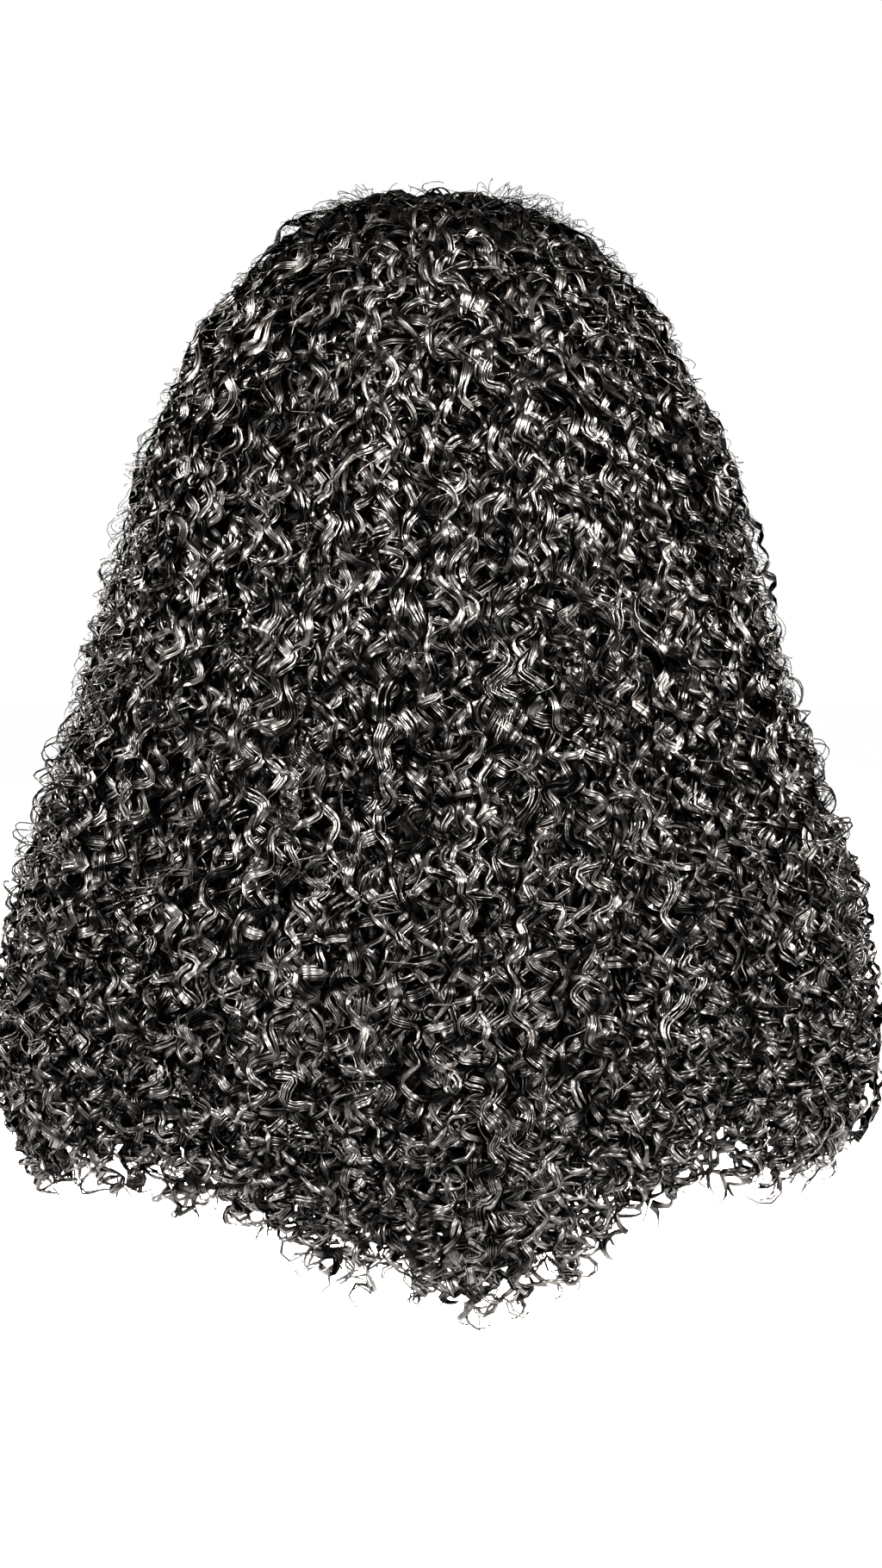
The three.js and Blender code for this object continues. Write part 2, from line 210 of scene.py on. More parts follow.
class ShaderTree:
    """The nodes of a material or a world, round its main shader."""

    BLACK = (0.00002, 0.00002, 0.00002, 1.0)

    def __init__(self, owner: Material | bpy.types.World, shader: str = "BSDF_PRINCIPLED") -> None:
        """Turns nodes on and finds the main shader.

        Args:
            owner: The material or world.
            shader: The main shader's type.
        """
        owner.use_nodes = True
        self.owner = owner
        self.nodes = owner.node_tree.nodes
        self.links = owner.node_tree.links
        self.shader = next(n for n in self.nodes if n.type == shader)

    def put(self, socket: Socket, value: object) -> None:
        """Links a value or an output to a socket, or sets a constant on it.

        Args:
            socket: The input socket.
            value: A shader value, an output socket or a constant.
        """
        if isinstance(value, Value):
            value = value.socket
        if isinstance(value, Socket):
            self.links.new(value, socket)
        else:
            socket.default_value = value

    def node(self, kind: str, settings: dict[str, object], inputs: dict[object, object]) -> bpy.types.Node:
        """Adds a node.

        Args:
            kind: Blender's name for the node type.
            settings: Properties to set on it first; a ramp's stops are (place, colour) pairs.
            inputs: Values or links by socket name or number.

        Returns:
            The new node.
        """
        made = self.nodes.new(kind)
        for key, value in settings.items():
            if key == "stops":
                self._set_stops(made.color_ramp.elements, value)
            else:
                setattr(made, key, value)
        for key, value in inputs.items():
            self.put(made.inputs[key], value)
        return made

    @staticmethod
    def _set_stops(elements: bpy.types.bpy_prop_collection, stops: tuple[tuple[float, Colour], ...]) -> None:
        """Sets the places and colours of a ramp's two stops."""
        for element, (place, colour) in zip(elements, stops, strict=True):
            element.position = place
            element.color = (*colour, 1.0)

    def surface(self, **inputs: object) -> None:
        """Sets the main shader's sockets, whose names have _ for spaces."""
        for key, value in inputs.items():
            self.put(self.shader.inputs[key.replace("_", " ")], value)

    def over_black(self, share: Value | float) -> None:
        """Lays a share of the main shader over plain black, so that its sheen stays low at every angle.

        Args:
            share: How much of the main shader shows, from 0 to 1.
        """
        black = self.node("ShaderNodeBsdfDiffuse", {}, {"Color": self.BLACK}).outputs[0]
        layers = {"Fac": share, 1: black, 2: self.shader.outputs["BSDF"]}
        mixed = self.node("ShaderNodeMixShader", {}, layers)
        output = next(n for n in self.nodes if n.type == "OUTPUT_MATERIAL")
        self.links.new(mixed.outputs[0], output.inputs["Surface"])

    def split(self, vector: Socket) -> tuple[Value, Value, Value]:
        """A vector's three numbers."""
        parts = self.node("ShaderNodeSeparateXYZ", {}, {0: vector}).outputs
        return Value(self, parts[0]), Value(self, parts[1]), Value(self, parts[2])

    def strand_map(self) -> tuple[Value, Value, Socket]:
        """Across and along the piece's own map, and both as one vector."""
        mapped = self.node("ShaderNodeUVMap", {"uv_map": STRAND_MAP}, {}).outputs[0]
        return *self.split(mapped)[:2], mapped

    def object_place(self) -> Socket:
        """The place in the piece's own space."""
        return self.node("ShaderNodeTexCoord", {}, {}).outputs["Object"]

    def vector(self, x: object, y: object, z: object = 0.0) -> Socket:
        """A vector of three numbers."""
        return self.node("ShaderNodeCombineXYZ", {}, {0: x, 1: y, 2: z}).outputs[0]

    def noise(self, vector: Socket, scale: float = 1.0, detail: float = 2.0) -> Value:
        """Noise from 0 to 1 at a vector."""
        made = self.node("ShaderNodeTexNoise", {}, {"Vector": vector, "Scale": scale, "Detail": detail})
        return Value(self, made.outputs["Fac"])

    def chance(self, x: object, y: object) -> Value:
        """A random number from 0 to 1 for each pair of whole numbers."""
        made = self.node("ShaderNodeTexWhiteNoise", {"noise_dimensions": "2D"}, {"Vector": self.vector(x, y)})
        return Value(self, made.outputs["Value"])

    def ramp(self, factor: Value, *stops: tuple[float, Colour]) -> Value:
        """Two colours by a factor, as (place, colour) stops."""
        made = self.node("ShaderNodeValToRGB", {"stops": stops}, {"Fac": factor})
        return Value(self, made.outputs["Color"])

    def bump(self, height: Value, strength: float, distance: float) -> Value:
        """A normal that follows a height, over a distance in metres."""
        inputs = {"Height": height, "Strength": strength, "Distance": distance}
        return Value(self, self.node("ShaderNodeBump", {}, inputs).outputs["Normal"])


@dataclass(frozen=True)
class TuftShade:
    """Painted light and shade over the hair: clumps that shine, painted shade in the hollows between them and
    painted shade near the crown, with sizes in metres.
    """

    least: float
    wide: float = 0.0135
    tall: float = 0.0085
    hollow: float = 0.38
    contrast: float = 5.5
    crown_top: float = 0.014
    crown_fade: float = 0.065
    crown_shaded_share: float = 0.38

    def painted_light(self, tree: ShaderTree) -> Value:
        """How much painted light the hair gets by its place in a clump, with painted shade in the hollows and
        near the crown.

        Args:
            tree: The hair's nodes.

        Returns:
            The least share in the hollows to 1 in the clumps, times the crown's share near the top, as
            painted shade.
        """
        x, y, z = tree.split(tree.object_place())
        wide, tall = 1.0 / self.wide, 1.0 / self.tall
        # Painted shade: noise through the piece's own space sets clumps that shine and hollows that go dark.
        cloud = tree.noise(tree.vector(x * wide, y * wide, z * tall), detail=1.0)
        # Painted shade near the crown: the sheen falls to a share towards the top.
        below_crown = ((self.crown_top - z) * (1.0 / self.crown_fade)).clipped()
        crown_shade = below_crown * (1.0 - self.crown_shaded_share) + self.crown_shaded_share
        tuft = ((cloud - self.hollow) * self.contrast).clipped()
        return (tuft * (1.0 - self.least) + self.least) * crown_shade


@dataclass(frozen=True)
class HairFinish:
    """Near-black fibre with a crisp sheen that varies from strand to strand, and painted shade in the hollows
    between clumps and near the crown.
    """

    name: str
    dark: Colour = (0.0001, 0.0001, 0.0001)
    warm: Colour = (0.003, 0.0018, 0.0012)
    roughness: float = 0.28
    roughness_spread: float = 0.12
    sheen: float = 0.23
    tuft_shade: TuftShade = TuftShade(0.1)
    streaks: float = 6.0
    glints: float = 26.0
    tip_share: float = 0.25

    def make(self) -> Material:
        """Makes the material.

        Returns:
            The material, patterned along each strand's own map.
        """
        tree = ShaderTree(bpy.data.materials.new(self.name))
        across, along, _ = tree.strand_map()
        lanes = across * float(MAP_COLUMNS)
        streak = tree.noise(tree.vector(lanes, along * self.streaks), detail=3.0)
        glint = tree.noise(tree.vector(lanes * 2.0, along * self.glints, 4.0))
        tips = streak * (1.0 - self.tip_share) + along.power(4.0) * self.tip_share
        tree.surface(
            Base_Color=tree.ramp(tips, (0.35, self.dark), (0.85, self.warm)),
            Roughness=self.roughness + (glint - 0.5) * self.roughness_spread,
        )
        # The sheen's share carries painted shade from the clumps and the crown.
        tree.over_black(self.tuft_shade.painted_light(tree) * self.sheen)
        return tree.owner


@dataclass(frozen=True)
class RibbonFinish:
    """Flat waved locks made of many fine parallel fibres, with painted shade between the fibres, at the
    locks' edges, along stretches of each lock, in the hollows between clumps and near the crown.
    """

    name: str
    dark: Colour = (0.0001, 0.0001, 0.0001)
    warm: Colour = (0.003, 0.0018, 0.0012)
    roughness: float = 0.28
    roughness_spread: float = 0.12
    sheen: float = 0.255
    tuft_shade: TuftShade = TuftShade(0.06)
    fibres: float = 12.0
    fibre_waves: float = 7.0
    tone_waves: float = 13.0
    tone_shade: float = 0.7
    edge_shade: float = 0.05
    cut: float = 0.46
    crispness: float = 14.0
    depth: float = 0.9 * MM

    def make(self) -> Material:
        """Makes the material.

        Returns:
            The material, patterned along each lock's own map.
        """
        tree = ShaderTree(bpy.data.materials.new(self.name))
        across, along, _ = tree.strand_map()
        lanes = across * float(MAP_COLUMNS)
        fibre = tree.noise(tree.vector(lanes * self.fibres, along * self.fibre_waves), detail=0.0)
        tone = tree.noise(tree.vector(lanes * 2.0, along * self.tone_waves, 2.0), detail=0.0)
        side = (lanes - lanes.floor()) * 2.5 - 1.5
        tree.surface(
            Base_Color=tree.ramp(fibre * 0.6 + tone * 0.4, (0.4, self.dark), (0.7, self.warm)),
            Roughness=self.roughness + (tone - 0.5) * self.roughness_spread,
            Normal=tree.bump(fibre, 1.0, self.depth),
        )
        # Painted shade along stretches of each lock, where the tone noise is high.
        thin = (tone - 0.5) * self.tone_shade
        # Painted shade: black between the fibres, darker towards the lock's edges and along the stretches
        # above.
        painted_light = ((fibre - thin - side.squared() * self.edge_shade - self.cut) * self.crispness).clipped()
        tree.over_black(painted_light * self.tuft_shade.painted_light(tree) * self.sheen)
        return tree.owner


@dataclass(frozen=True)
class UnderhairFinish:
    """The dense hair close to the wefts: packed columns of coils, shown as a bump, with painted shade in the
    grooves between the columns and in the coils' troughs, sizes in millimetres.
    """

    name: str
    dark: Colour = (0.0001, 0.0001, 0.0001)
    warm: Colour = (0.002, 0.0013, 0.001)
    roughness: float = 0.32
    roughness_spread: float = 0.2
    sheen: float = 0.18
    column: float = 9.0
    patch: float = 64.0
    pitch: float = 8.0
    pitch_spread: float = 5.0
    sway: float = 40.0
    sway_over: float = 50.0
    kink: float = 12.0
    kink_turn: float = 14.0
    depth: float = 3.4

    def make(self) -> Material:
        """Makes the material.

        Returns:
            The material, patterned along the wall's own map.
        """
        tree = ShaderTree(bpy.data.materials.new(self.name))
        across, along, _ = tree.strand_map()
        map_size = 1.0 / (WALL_MAP_PER_METRE * MM)
        x, y = across * map_size, along * map_size
        drift = tree.noise(tree.vector(x * (1.0 / self.sway_over), y * (1.0 / self.sway_over)))
        kink = tree.noise(tree.vector(x * 0.07, y * 0.07, 3.0), detail=1.0)
        place = (x + (drift - 0.5) * self.sway + (kink - 0.5) * self.kink) * (1.0 / self.column)
        column = place.floor()
        side = place - column - 0.5
        shift = tree.chance(column, 3.0)
        chance = tree.chance(column, (y * (1.0 / self.patch) + shift).floor())
        pitch = chance * self.pitch_spread + self.pitch
        hand = (chance * 57.0).sine() * 6.0
        turn = y * FULL_TURN / pitch + chance * 40.0 + side * hand + kink * self.kink_turn
        round_lock = 1.0 - (side * 2.0).squared()
        coil = turn.sine() * 0.5 + 0.5
        fibre = (turn * 5.0 + drift * 30.0 + side * 4.0).sine()
        height = round_lock * (coil * 0.7 + 0.3) + fibre * round_lock * 0.05
        tone = tree.noise(tree.vector(x * 0.3, y * 0.08))
        tree.surface(
            Base_Color=tree.ramp(tone, (0.35, self.dark), (0.75, self.warm)),
            Roughness=self.roughness + (tone - 0.5) * self.roughness_spread,
            Normal=tree.bump(height, 1.0, self.depth * MM),
        )
        # Painted shade: the sheen's share falls to black at the columns' sides and in the coils' troughs.
        painted_light = (round_lock * coil * 1.7 + fibre * 0.3 - 0.4).clipped()
        tree.over_black(painted_light * self.sheen)
        return tree.owner


@dataclass(frozen=True)
class NetFinish:
    """Black stretch net, with crossing threads and sewn weft tracks."""

    name: str
    thread: Colour = (0.02, 0.019, 0.018)
    gap: Colour = (0.001, 0.001, 0.001)
    roughness: float = 0.6
    roughness_spread: float = 0.2
    sheen: float = 0.22
    least_lit: float = 0.15
    threads_round: float = 110.0
    threads_up: float = 40.0
    stitches: float = 330.0
    tracks: float = 7.0
    depth: float = 0.8 * MM

    def make(self) -> Material:
        """Makes the material.

        Returns:
            The material, patterned round and up the cap's own map.
        """
        tree = ShaderTree(bpy.data.materials.new(self.name))
        across, along, place = tree.strand_map()
        lean = across * (math.pi * self.threads_round)
        rise = along * (math.pi * self.threads_up)
        threads = (lean + rise).sine().size().most((lean - rise).sine().size()).power(6.0)
        uneven = tree.noise(place, 30.0)
        track = (along * (math.pi * self.tracks) + (uneven - 0.5) * 0.2).sine().size().power(30.0)
        stitch = (across * (math.pi * self.stitches)).sine().size() * 0.5 + 0.5
        cover = threads.most(track * stitch)
        tree.surface(
            Base_Color=tree.ramp(cover, (0.2, self.gap), (0.9, self.thread)),
            Roughness=self.roughness + uneven * self.roughness_spread,
            Normal=tree.bump(cover + track, 0.8, self.depth),
        )
        tree.over_black((cover * (1.0 - self.least_lit) + self.least_lit) * self.sheen)
        return tree.owner


@dataclass(frozen=True)
class ElasticFinish:
    """Woven elastic with ribs across it, painted shade where the ribs dip, and a faint lint."""

    name: str
    high: Colour = (0.03, 0.029, 0.028)
    # The colour at the foot of the ribs, as painted shade.
    low: Colour = (0.003, 0.003, 0.003)
    roughness: float = 0.6
    roughness_spread: float = 0.25
    sheen: float = 0.25
    least_lit: float = 0.3
    ribs: float = 260.0
    threads: float = 10.0
    depth: float = 0.6 * MM

    def make(self) -> Material:
        """Makes the material.

        Returns:
            The material, patterned round the band's own map.
        """
        tree = ShaderTree(bpy.data.materials.new(self.name))
        across, along, place = tree.strand_map()
        rib = (across * (math.pi * self.ribs)).sine().size()
        weave = (along * (math.pi * self.threads)).sine().size()
        lint = tree.noise(place, 60.0)
        # The colour and the sheen's share follow the ribs' height, as painted shade where they dip; the lint
        # is a random tone.
        height = rib * 0.7 + weave * 0.3
        tree.surface(
            Base_Color=tree.ramp(height + (lint - 0.5) * 0.3, (0.2, self.low), (0.9, self.high)),
            Roughness=self.roughness + lint * self.roughness_spread,
            Normal=tree.bump(height, 0.7, self.depth),
        )
        tree.over_black((height * (1.0 - self.least_lit) + self.least_lit) * self.sheen)
        return tree.owner


@dataclass(frozen=True)
class CombFinish:
    """Dark moulded plastic with faint flow marks."""

    name: str
    dark: Colour = (0.004, 0.0037, 0.0035)
    light: Colour = (0.014, 0.0125, 0.0115)
    roughness: float = 0.28
    roughness_spread: float = 0.2
    sheen: float = 0.5
    flow_marks: float = 140.0
    depth: float = 0.3 * MM

    def make(self) -> Material:
        """Makes the material.

        Returns:
            The material, patterned through the comb's own space.
        """
        tree = ShaderTree(bpy.data.materials.new(self.name))
        flow = tree.noise(tree.object_place(), self.flow_marks, 4.0)
        tree.surface(
            Base_Color=tree.ramp(flow, (0.3, self.dark), (0.8, self.light)),
            Roughness=self.roughness + (flow - 0.5) * self.roughness_spread,
            Normal=tree.bump(flow, 0.12, self.depth),
        )
        tree.over_black(self.sheen)
        return tree.owner


@dataclass(frozen=True)
class FloorFinish:
    """A pale matt floor."""

    name: str
    colour: Colour = (1.0, 1.0, 1.0)
    shade: Colour = (0.99, 0.99, 0.99)
    roughness: float = 0.85
    roughness_spread: float = 0.1
    specular: float = 0.2

    def make(self) -> Material:
        """Makes the material.

        Returns:
            The material, with a faint unevenness.
        """
        tree = ShaderTree(bpy.data.materials.new(self.name))
        uneven = tree.noise(tree.object_place(), 6.0)
        tree.surface(
            Base_Color=tree.ramp(uneven, (0.3, self.shade), (0.7, self.colour)),
            Roughness=self.roughness + (uneven - 0.5) * self.roughness_spread,
            Specular_IOR_Level=self.specular,
        )
        return tree.owner


@dataclass(frozen=True)
class Section:
    """One level of the hair in millimetres: its outer ring, and the hollow's ring or height on the head."""

    z: float
    half_width: float
    back: float
    front: float
    hollow_z: float
    hollow_width: float = 0.0
    hollow_back: float = 0.0


SECTIONS = (
    Section(26, 0, 0, 0, 0),
    Section(19, 42, 42, 40, -4),
    Section(0, 74, 75, 62, -18),
    Section(-36, 105, 106, 78, -45),
    Section(-75, 127, 130, 92, -80),
    Section(-120, 147, 147, 96, -122),
    Section(-165, 158, 155, 90, -158),
    Section(-215, 171, 159, 88, -205, 94, 98),
    Section(-265, 186, 161, 92, -262, 124, 106),
    Section(-312, 203, 164, 100, -312, 152, 113),
    Section(-375, 211, 167, 104, -375, 171, 122),
    Section(-425, 207, 166, 102, -425, 172, 126),
    Section(-470, 188, 156, 92, -466, 160, 122),
    Section(-515, 170, 142, 84, -508, 150, 116),
)
HOLLOW_FRONT = 66.0

# The hem as azimuth from the back in degrees and height in millimetres.
HEM = (
    (-180, -455), (-75, -460), (-44, -446), (-17, -482),
    (12, -508), (32, -455), (64, -450), (180, -458),
)


@dataclass(frozen=True)
class Head:
    """The head form in millimetres, and the lift of the hair above it."""

    half_width: float = 78.0
    half_depth: float = 98.0
    height: float = 112.0
    hair_lift: float = 2.3
    pole_lean: float = math.radians(49.0)

    def level(self, sine: float) -> float:
        """The height of the cap's outer face at the sine of an elevation."""
        return sine * (self.height + self.hair_lift) - self.height

    def ring(self, hollow_z: float) -> tuple[float, float, float]:
        """The cap's outer face at one level of the bare head.

        Args:
            hollow_z: The height of the level on the bare head.

        Returns:
            Height, half width and half depth of the ring there.
        """
        sine = max(-1.0, min(1.0, (hollow_z + self.height) / self.height))
        reach = math.sqrt(1.0 - sine * sine)
        half_width = reach * (self.half_width + self.hair_lift)
        half_depth = reach * (self.half_depth + self.hair_lift)
        return self.level(sine), half_width, half_depth

    def point(self, around: Array, from_pole: Array, lift: Array) -> Array:
        """Points over the head.

        Args:
            around: Angles round the cap's pole.
            from_pole: Angles from the pole.
            lift: Lift above the bare head, in millimetres.

        Returns:
            The points in metres.
        """
        lean = self.pole_lean
        reach = np.sin(from_pole)
        y = -math.sin(lean) * np.cos(from_pole) + math.cos(lean) * reach * np.cos(around)
        z = math.cos(lean) * np.cos(from_pole) + math.sin(lean) * reach * np.cos(around)
        x = reach * np.sin(around) * (self.half_width + lift)
        y = y * (self.half_depth + lift)
        z = z * (self.height + lift) - self.height
        return MM * np.stack((x, y, z), axis=-1)


@dataclass(frozen=True)
class FaceOpening:
    """Where the hair rises from the hem to the cap's front rim, by azimuth from the back in degrees."""

    side: float = 104.0
    top: float = 142.0
    top_place: float = 1.75


class HairForm:
    """The hair's body: its outer face, its hollow and its hem, by azimuth and by length from the crown."""

    PLACES = 600
    GIRTH_POINTS = 181

    def __init__(self, head: Head, opening: FaceOpening) -> None:
        """Works out the tables of both faces, and the lengths down the outer one.

        Args:
            head: The head that the hollow clears.
            opening: The opening for the face.
        """
        self.head = head
        self.opening = opening
        self.outer = np.array([(s.z, s.half_width, s.back, s.front) for s in SECTIONS]) * MM
        self.hollow = np.array([self._hollow(s) for s in SECTIONS]) * MM
        self.last = len(SECTIONS) - 1.0
        self.places = np.linspace(0.0, self.last, self.PLACES)
        rows = self.row_at(self.outer, self.places)
        self.heights = rows[:, 0]
        reach = (rows[:, 1] + rows[:, 2]) / 2.0
        steps = np.hypot(np.diff(reach), np.diff(self.heights))
        self.lengths = np.concatenate(([0.0], np.cumsum(steps)))
        self.longest = float(self.lengths[-1])

    def _hollow(self, section: Section) -> tuple[float, float, float, float]:
        """One row of the hollow: height, half width, back and front."""
        if section.hollow_width:
            return section.hollow_z, section.hollow_width, section.hollow_back, HOLLOW_FRONT
        z, half_width, half_depth = self.head.ring(section.hollow_z)
        return z, half_width, half_depth, half_depth

    @staticmethod
    def row_at(table: Array, place: Array) -> Array:
        """Rows of a table on a smooth curve through it.

        Args:
            table: Height, half width, back and front of each section.
            place: Fractional row numbers.

        Returns:
            A row for each place.
        """
        before = table[1] * np.array((1.0, -1.0, -1.0, -1.0))
        padded = np.vstack((before, table, 2.0 * table[-1] - table[-2]))
        low = np.clip(np.floor(place).astype(int), 0, len(table) - 2)
        t = (place - low)[..., None]
        p0, p1, p2, p3 = (padded[low + i] for i in range(4))
        bend = 2.0 * p0 - 5.0 * p1 + 4.0 * p2 - p3
        twist = 3.0 * (p1 - p2) + p3 - p0
        return p1 + 0.5 * t * (p2 - p0 + t * (bend + t * twist))

    @staticmethod
    def _ring(rows: Array, azimuth: Array) -> Array:
        """Points of rings by azimuth from the back."""
        depth = np.where(np.cos(azimuth) >= 0.0, rows[..., 2], rows[..., 3])
        return np.stack((rows[..., 1] * np.sin(azimuth), -depth * np.cos(azimuth), rows[..., 0]), axis=-1)

    def place_at(self, length: Array) -> Array:
        """The section place at a length down the outer face from the crown."""
        return np.interp(length, self.lengths, self.places)

    def length_at(self, place: float) -> float:
        """The length down the outer face from the crown at a section place."""
        return float(np.interp(place, self.places, self.lengths))

    def faces(self, azimuth: Array, length: Array) -> tuple[Array, Array]:
        """Points of the outer face and of the hollow's face."""
        place = self.place_at(length)
        outer = self._ring(self.row_at(self.outer, place), azimuth)
        return outer, self._ring(self.row_at(self.hollow, place), azimuth)

    def radius(self, azimuth: Array, length: Array, least: float) -> Array:
        """The distance of the outer face from the upright axis, or a least distance where that is more."""
        outer = self.faces(azimuth, length)[0]
        return np.maximum(np.linalg.norm(outer[:, :2], axis=1), least)

    def girth(self, length: float) -> float:
        """The way round the outer face at a length."""
        turn = np.linspace(-math.pi, math.pi, self.GIRTH_POINTS)
        return float(step_lengths(self.faces(turn, np.full_like(turn, length))[0]).sum())

    def tip_length(self, azimuth: Array) -> Array:
        """The length down the outer face at which the locks end.

        Args:
            azimuth: Angles from the back.

        Returns:
            The hem's length, or the front rim's in the opening for the face.
        """
        degrees = np.degrees(azimuth)
        table = np.array(HEM, dtype=float)
        z = np.interp(degrees, table[:, 0], table[:, 1]) * MM
        hem = np.interp(-z, -self.heights, self.lengths)
        rise = smooth(np.abs(degrees), self.opening.side, self.opening.top)
        return hem + (self.length_at(self.opening.top_place) - hem) * rise


@dataclass(frozen=True)
class WeftRow:
    """One inner weft: its root row on the head, and how far it spreads, in degrees."""

    name: str
    root_elevation: float
    root_spread: float
    hem_spread: float


WEFTS = (
    WeftRow("weft_nape", -24.0, 25.0, 60.0),
    WeftRow("weft_lower", -4.0, 50.0, 76.0),
    WeftRow("weft_middle", 18.0, 72.0, 88.0),
    WeftRow("weft_upper", 42.0, 90.0, 96.0),
)
CROWN = "weft_crown"
ROWS = (*(weft.name for weft in WEFTS), CROWN)


class WeftLayers:
    """How the rows share the depth between the hollow and the outer face."""

    SHARE_LEAD, SHARE_RAMP = 1.2, 3.0

    def __init__(self, form: HairForm) -> None:
        """Finds each weft's root on the hair's body."""
        self.form = form
        self.roots = [self._root(weft) for weft in WEFTS]

    def _root(self, weft: WeftRow) -> float:
        """The section place of a weft's root."""
        z = MM * self.form.head.level(math.sin(math.radians(weft.root_elevation)))
        heights = self.form.row_at(self.form.hollow, self.form.places)[:, 0]
        return float(np.interp(-z, -heights, self.form.places))

    def below(self, rows: int, length: Array) -> Array:
        """The share of the depth that lies inside a number of inner rows.

        Args:
            rows: How many rows, counted from the inside.
            length: Lengths from the crown.

        Returns:
            A share from 0 to 1 for each length.
        """
        place = self.form.place_at(length)
        leads = [np.clip((place - r + self.SHARE_LEAD) / self.SHARE_RAMP, 0.0, 1.0) for r in self.roots]
        return sum(leads[:rows], np.zeros_like(place)) / (sum(leads) + 1.0)

    def root_length(self, row: int) -> float:
        """The length down the outer face at which a row's root lies, and 0 for the crown."""
        return self.form.length_at(self.roots[row]) if row < len(WEFTS) else 0.0

    def spread(self, row: int, length: Array) -> Array:
        """Half the azimuth that a row covers.

        Args:
            row: The row's number from the inside.
            length: Lengths from the crown.

        Returns:
            An angle for each length.
        """
        if row >= len(WEFTS):
            return np.full_like(np.asarray(length, dtype=float), math.pi)
        weft = WEFTS[row]
        ease = smooth(self.form.place_at(length), self.roots[row], self.form.last)
        return np.radians(weft.root_spread + (weft.hem_spread - weft.root_spread) * ease)


@dataclass(frozen=True)
class Profile:
    """A strand's section: corners as shares of its width and thickness, and where each lies round the map."""

    corners: tuple[tuple[float, float], ...]
    lanes: tuple[float, ...]
    creased: bool = False


ROUND = Profile(((0.0, -0.58), (0.5, 0.29), (-0.5, 0.29)), (0.0, 0.3, 0.7, 1.0))
FLAT = Profile(((-0.5, 0.2), (0.0, -0.8), (0.5, 0.2)), (0.0, 0.1, 0.2, 1.0), creased=True)


def dress(piece: Piece, material: Material, slot: str, *nodes: str) -> Piece:
    """Gives a piece its material and lets it ride on the root.

    Args:
        piece: The piece.
        material: Its only material.
        slot: What the piece is made of; not used.
        nodes: The solids that it stands for.

    Returns:
        The same piece.
    """
    piece.data.materials.clear()
    piece.data.materials.append(material)
    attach(piece, ROOT)
    if nodes:
        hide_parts(*nodes)
    return piece


def linked(name: str, data: bpy.types.ID) -> Piece:
    """A new object in the scene that holds a mesh, a light or a camera."""
    made = bpy.data.objects.new(name, data)
    bpy.context.scene.collection.objects.link(made)
    return made


@dataclass
class StrandBatch:
    """Points of many strands of one length in steps, with the frames and sizes of their sections."""

    points: Array
    outward: Array
    width: Array
    thickness: Array
    profile: Profile = ROUND

    def sections(self) -> Array:
        """Works out the corners of every strand's sections.

        Returns:
            Points by strand, step and side.
        """
        along = unit(np.gradient(self.points, axis=1))
        out = square_to(self.outward, along)
        across = np.cross(along, out)
        reach = [
            across * (self.width * side)[..., None] + out * (self.thickness * rise)[..., None]
            for side, rise in self.profile.corners
        ]
        return self.points[:, :, None, :] + np.stack(reach, axis=2)


class StrandMesh:
    """Joins batches of strands into one mesh of closed tubes."""

    def __init__(self, name: str) -> None:
        """Starts with no strands."""
        self.name = name
        self.batches: list[StrandBatch] = []

    def add(self, batch: StrandBatch) -> None:
        """Adds a batch that has any strands."""
        if len(batch.points):
            self.batches.append(batch)

    def build(self, rng: Random, material: Material, *nodes: str) -> Piece:
        """Writes the mesh, with a map that runs round and along each strand.

        Args:
            rng: Picks each strand's column of the map.
            material: The hair's material.
            nodes: The solids that the piece stands for.

        Returns:
            The dressed piece.
        """
        corners, loops, sizes, maps, creases = [], [], [], [], []
        first = 0
        for batch in self.batches:
            sections = batch.sections()
            strands, steps, sides = sections.shape[:3]
            index = first + np.arange(strands * steps * sides).reshape(strands, steps, sides)
            first += index.size
            corners.append(sections.reshape(-1, 3))
            ahead = np.roll(index, -1, axis=2)
            quads = np.stack((index[:, :-1], index[:, 1:], ahead[:, 1:], ahead[:, :-1]), axis=-1)
            column = rng.integers(0, MAP_COLUMNS, strands)
            u = (column[:, None] + np.array(batch.profile.lanes)) / MAP_COLUMNS
            v = np.linspace(0.0, 1.0, steps)
            u0, u1 = (np.broadcast_to(x[:, None, :], quads.shape[:3]) for x in (u[:, :-1], u[:, 1:]))
            v0, v1 = (np.broadcast_to(x[None, :, None], quads.shape[:3]) for x in (v[:-1], v[1:]))
            loops.append(quads.reshape(-1))
            sizes.append(np.full(quads.size // 4, 4))
            maps.append(np.stack((u0, v0, u0, v1, u1, v1, u1, v0), axis=-1).reshape(-1, 2))
            for end, ring in ((0.0, index[:, 0, :]), (1.0, index[:, -1, ::-1])):
                loops.append(ring.reshape(-1))
                sizes.append(np.full(strands, sides))
                maps.append(np.stack((u[:, :-1], np.full((strands, sides), end)), axis=-1).reshape(-1, 2))
            if batch.profile.creased:
                creases.append(np.stack((index[:, :-1], index[:, 1:]), axis=-1).reshape(-1, 2))
        mesh = write_mesh(self.name, *(np.concatenate(rows) for rows in (corners, loops, sizes, maps)))
        if creases:
            crease_edges(mesh, np.concatenate(creases))
        piece = dress(linked(self.name, mesh), material, HAIR_SLOT, *nodes)
        mesh.calc_loop_triangles()
        LOG.info("%s: %d triangles", self.name, len(mesh.loop_triangles))
        return piece


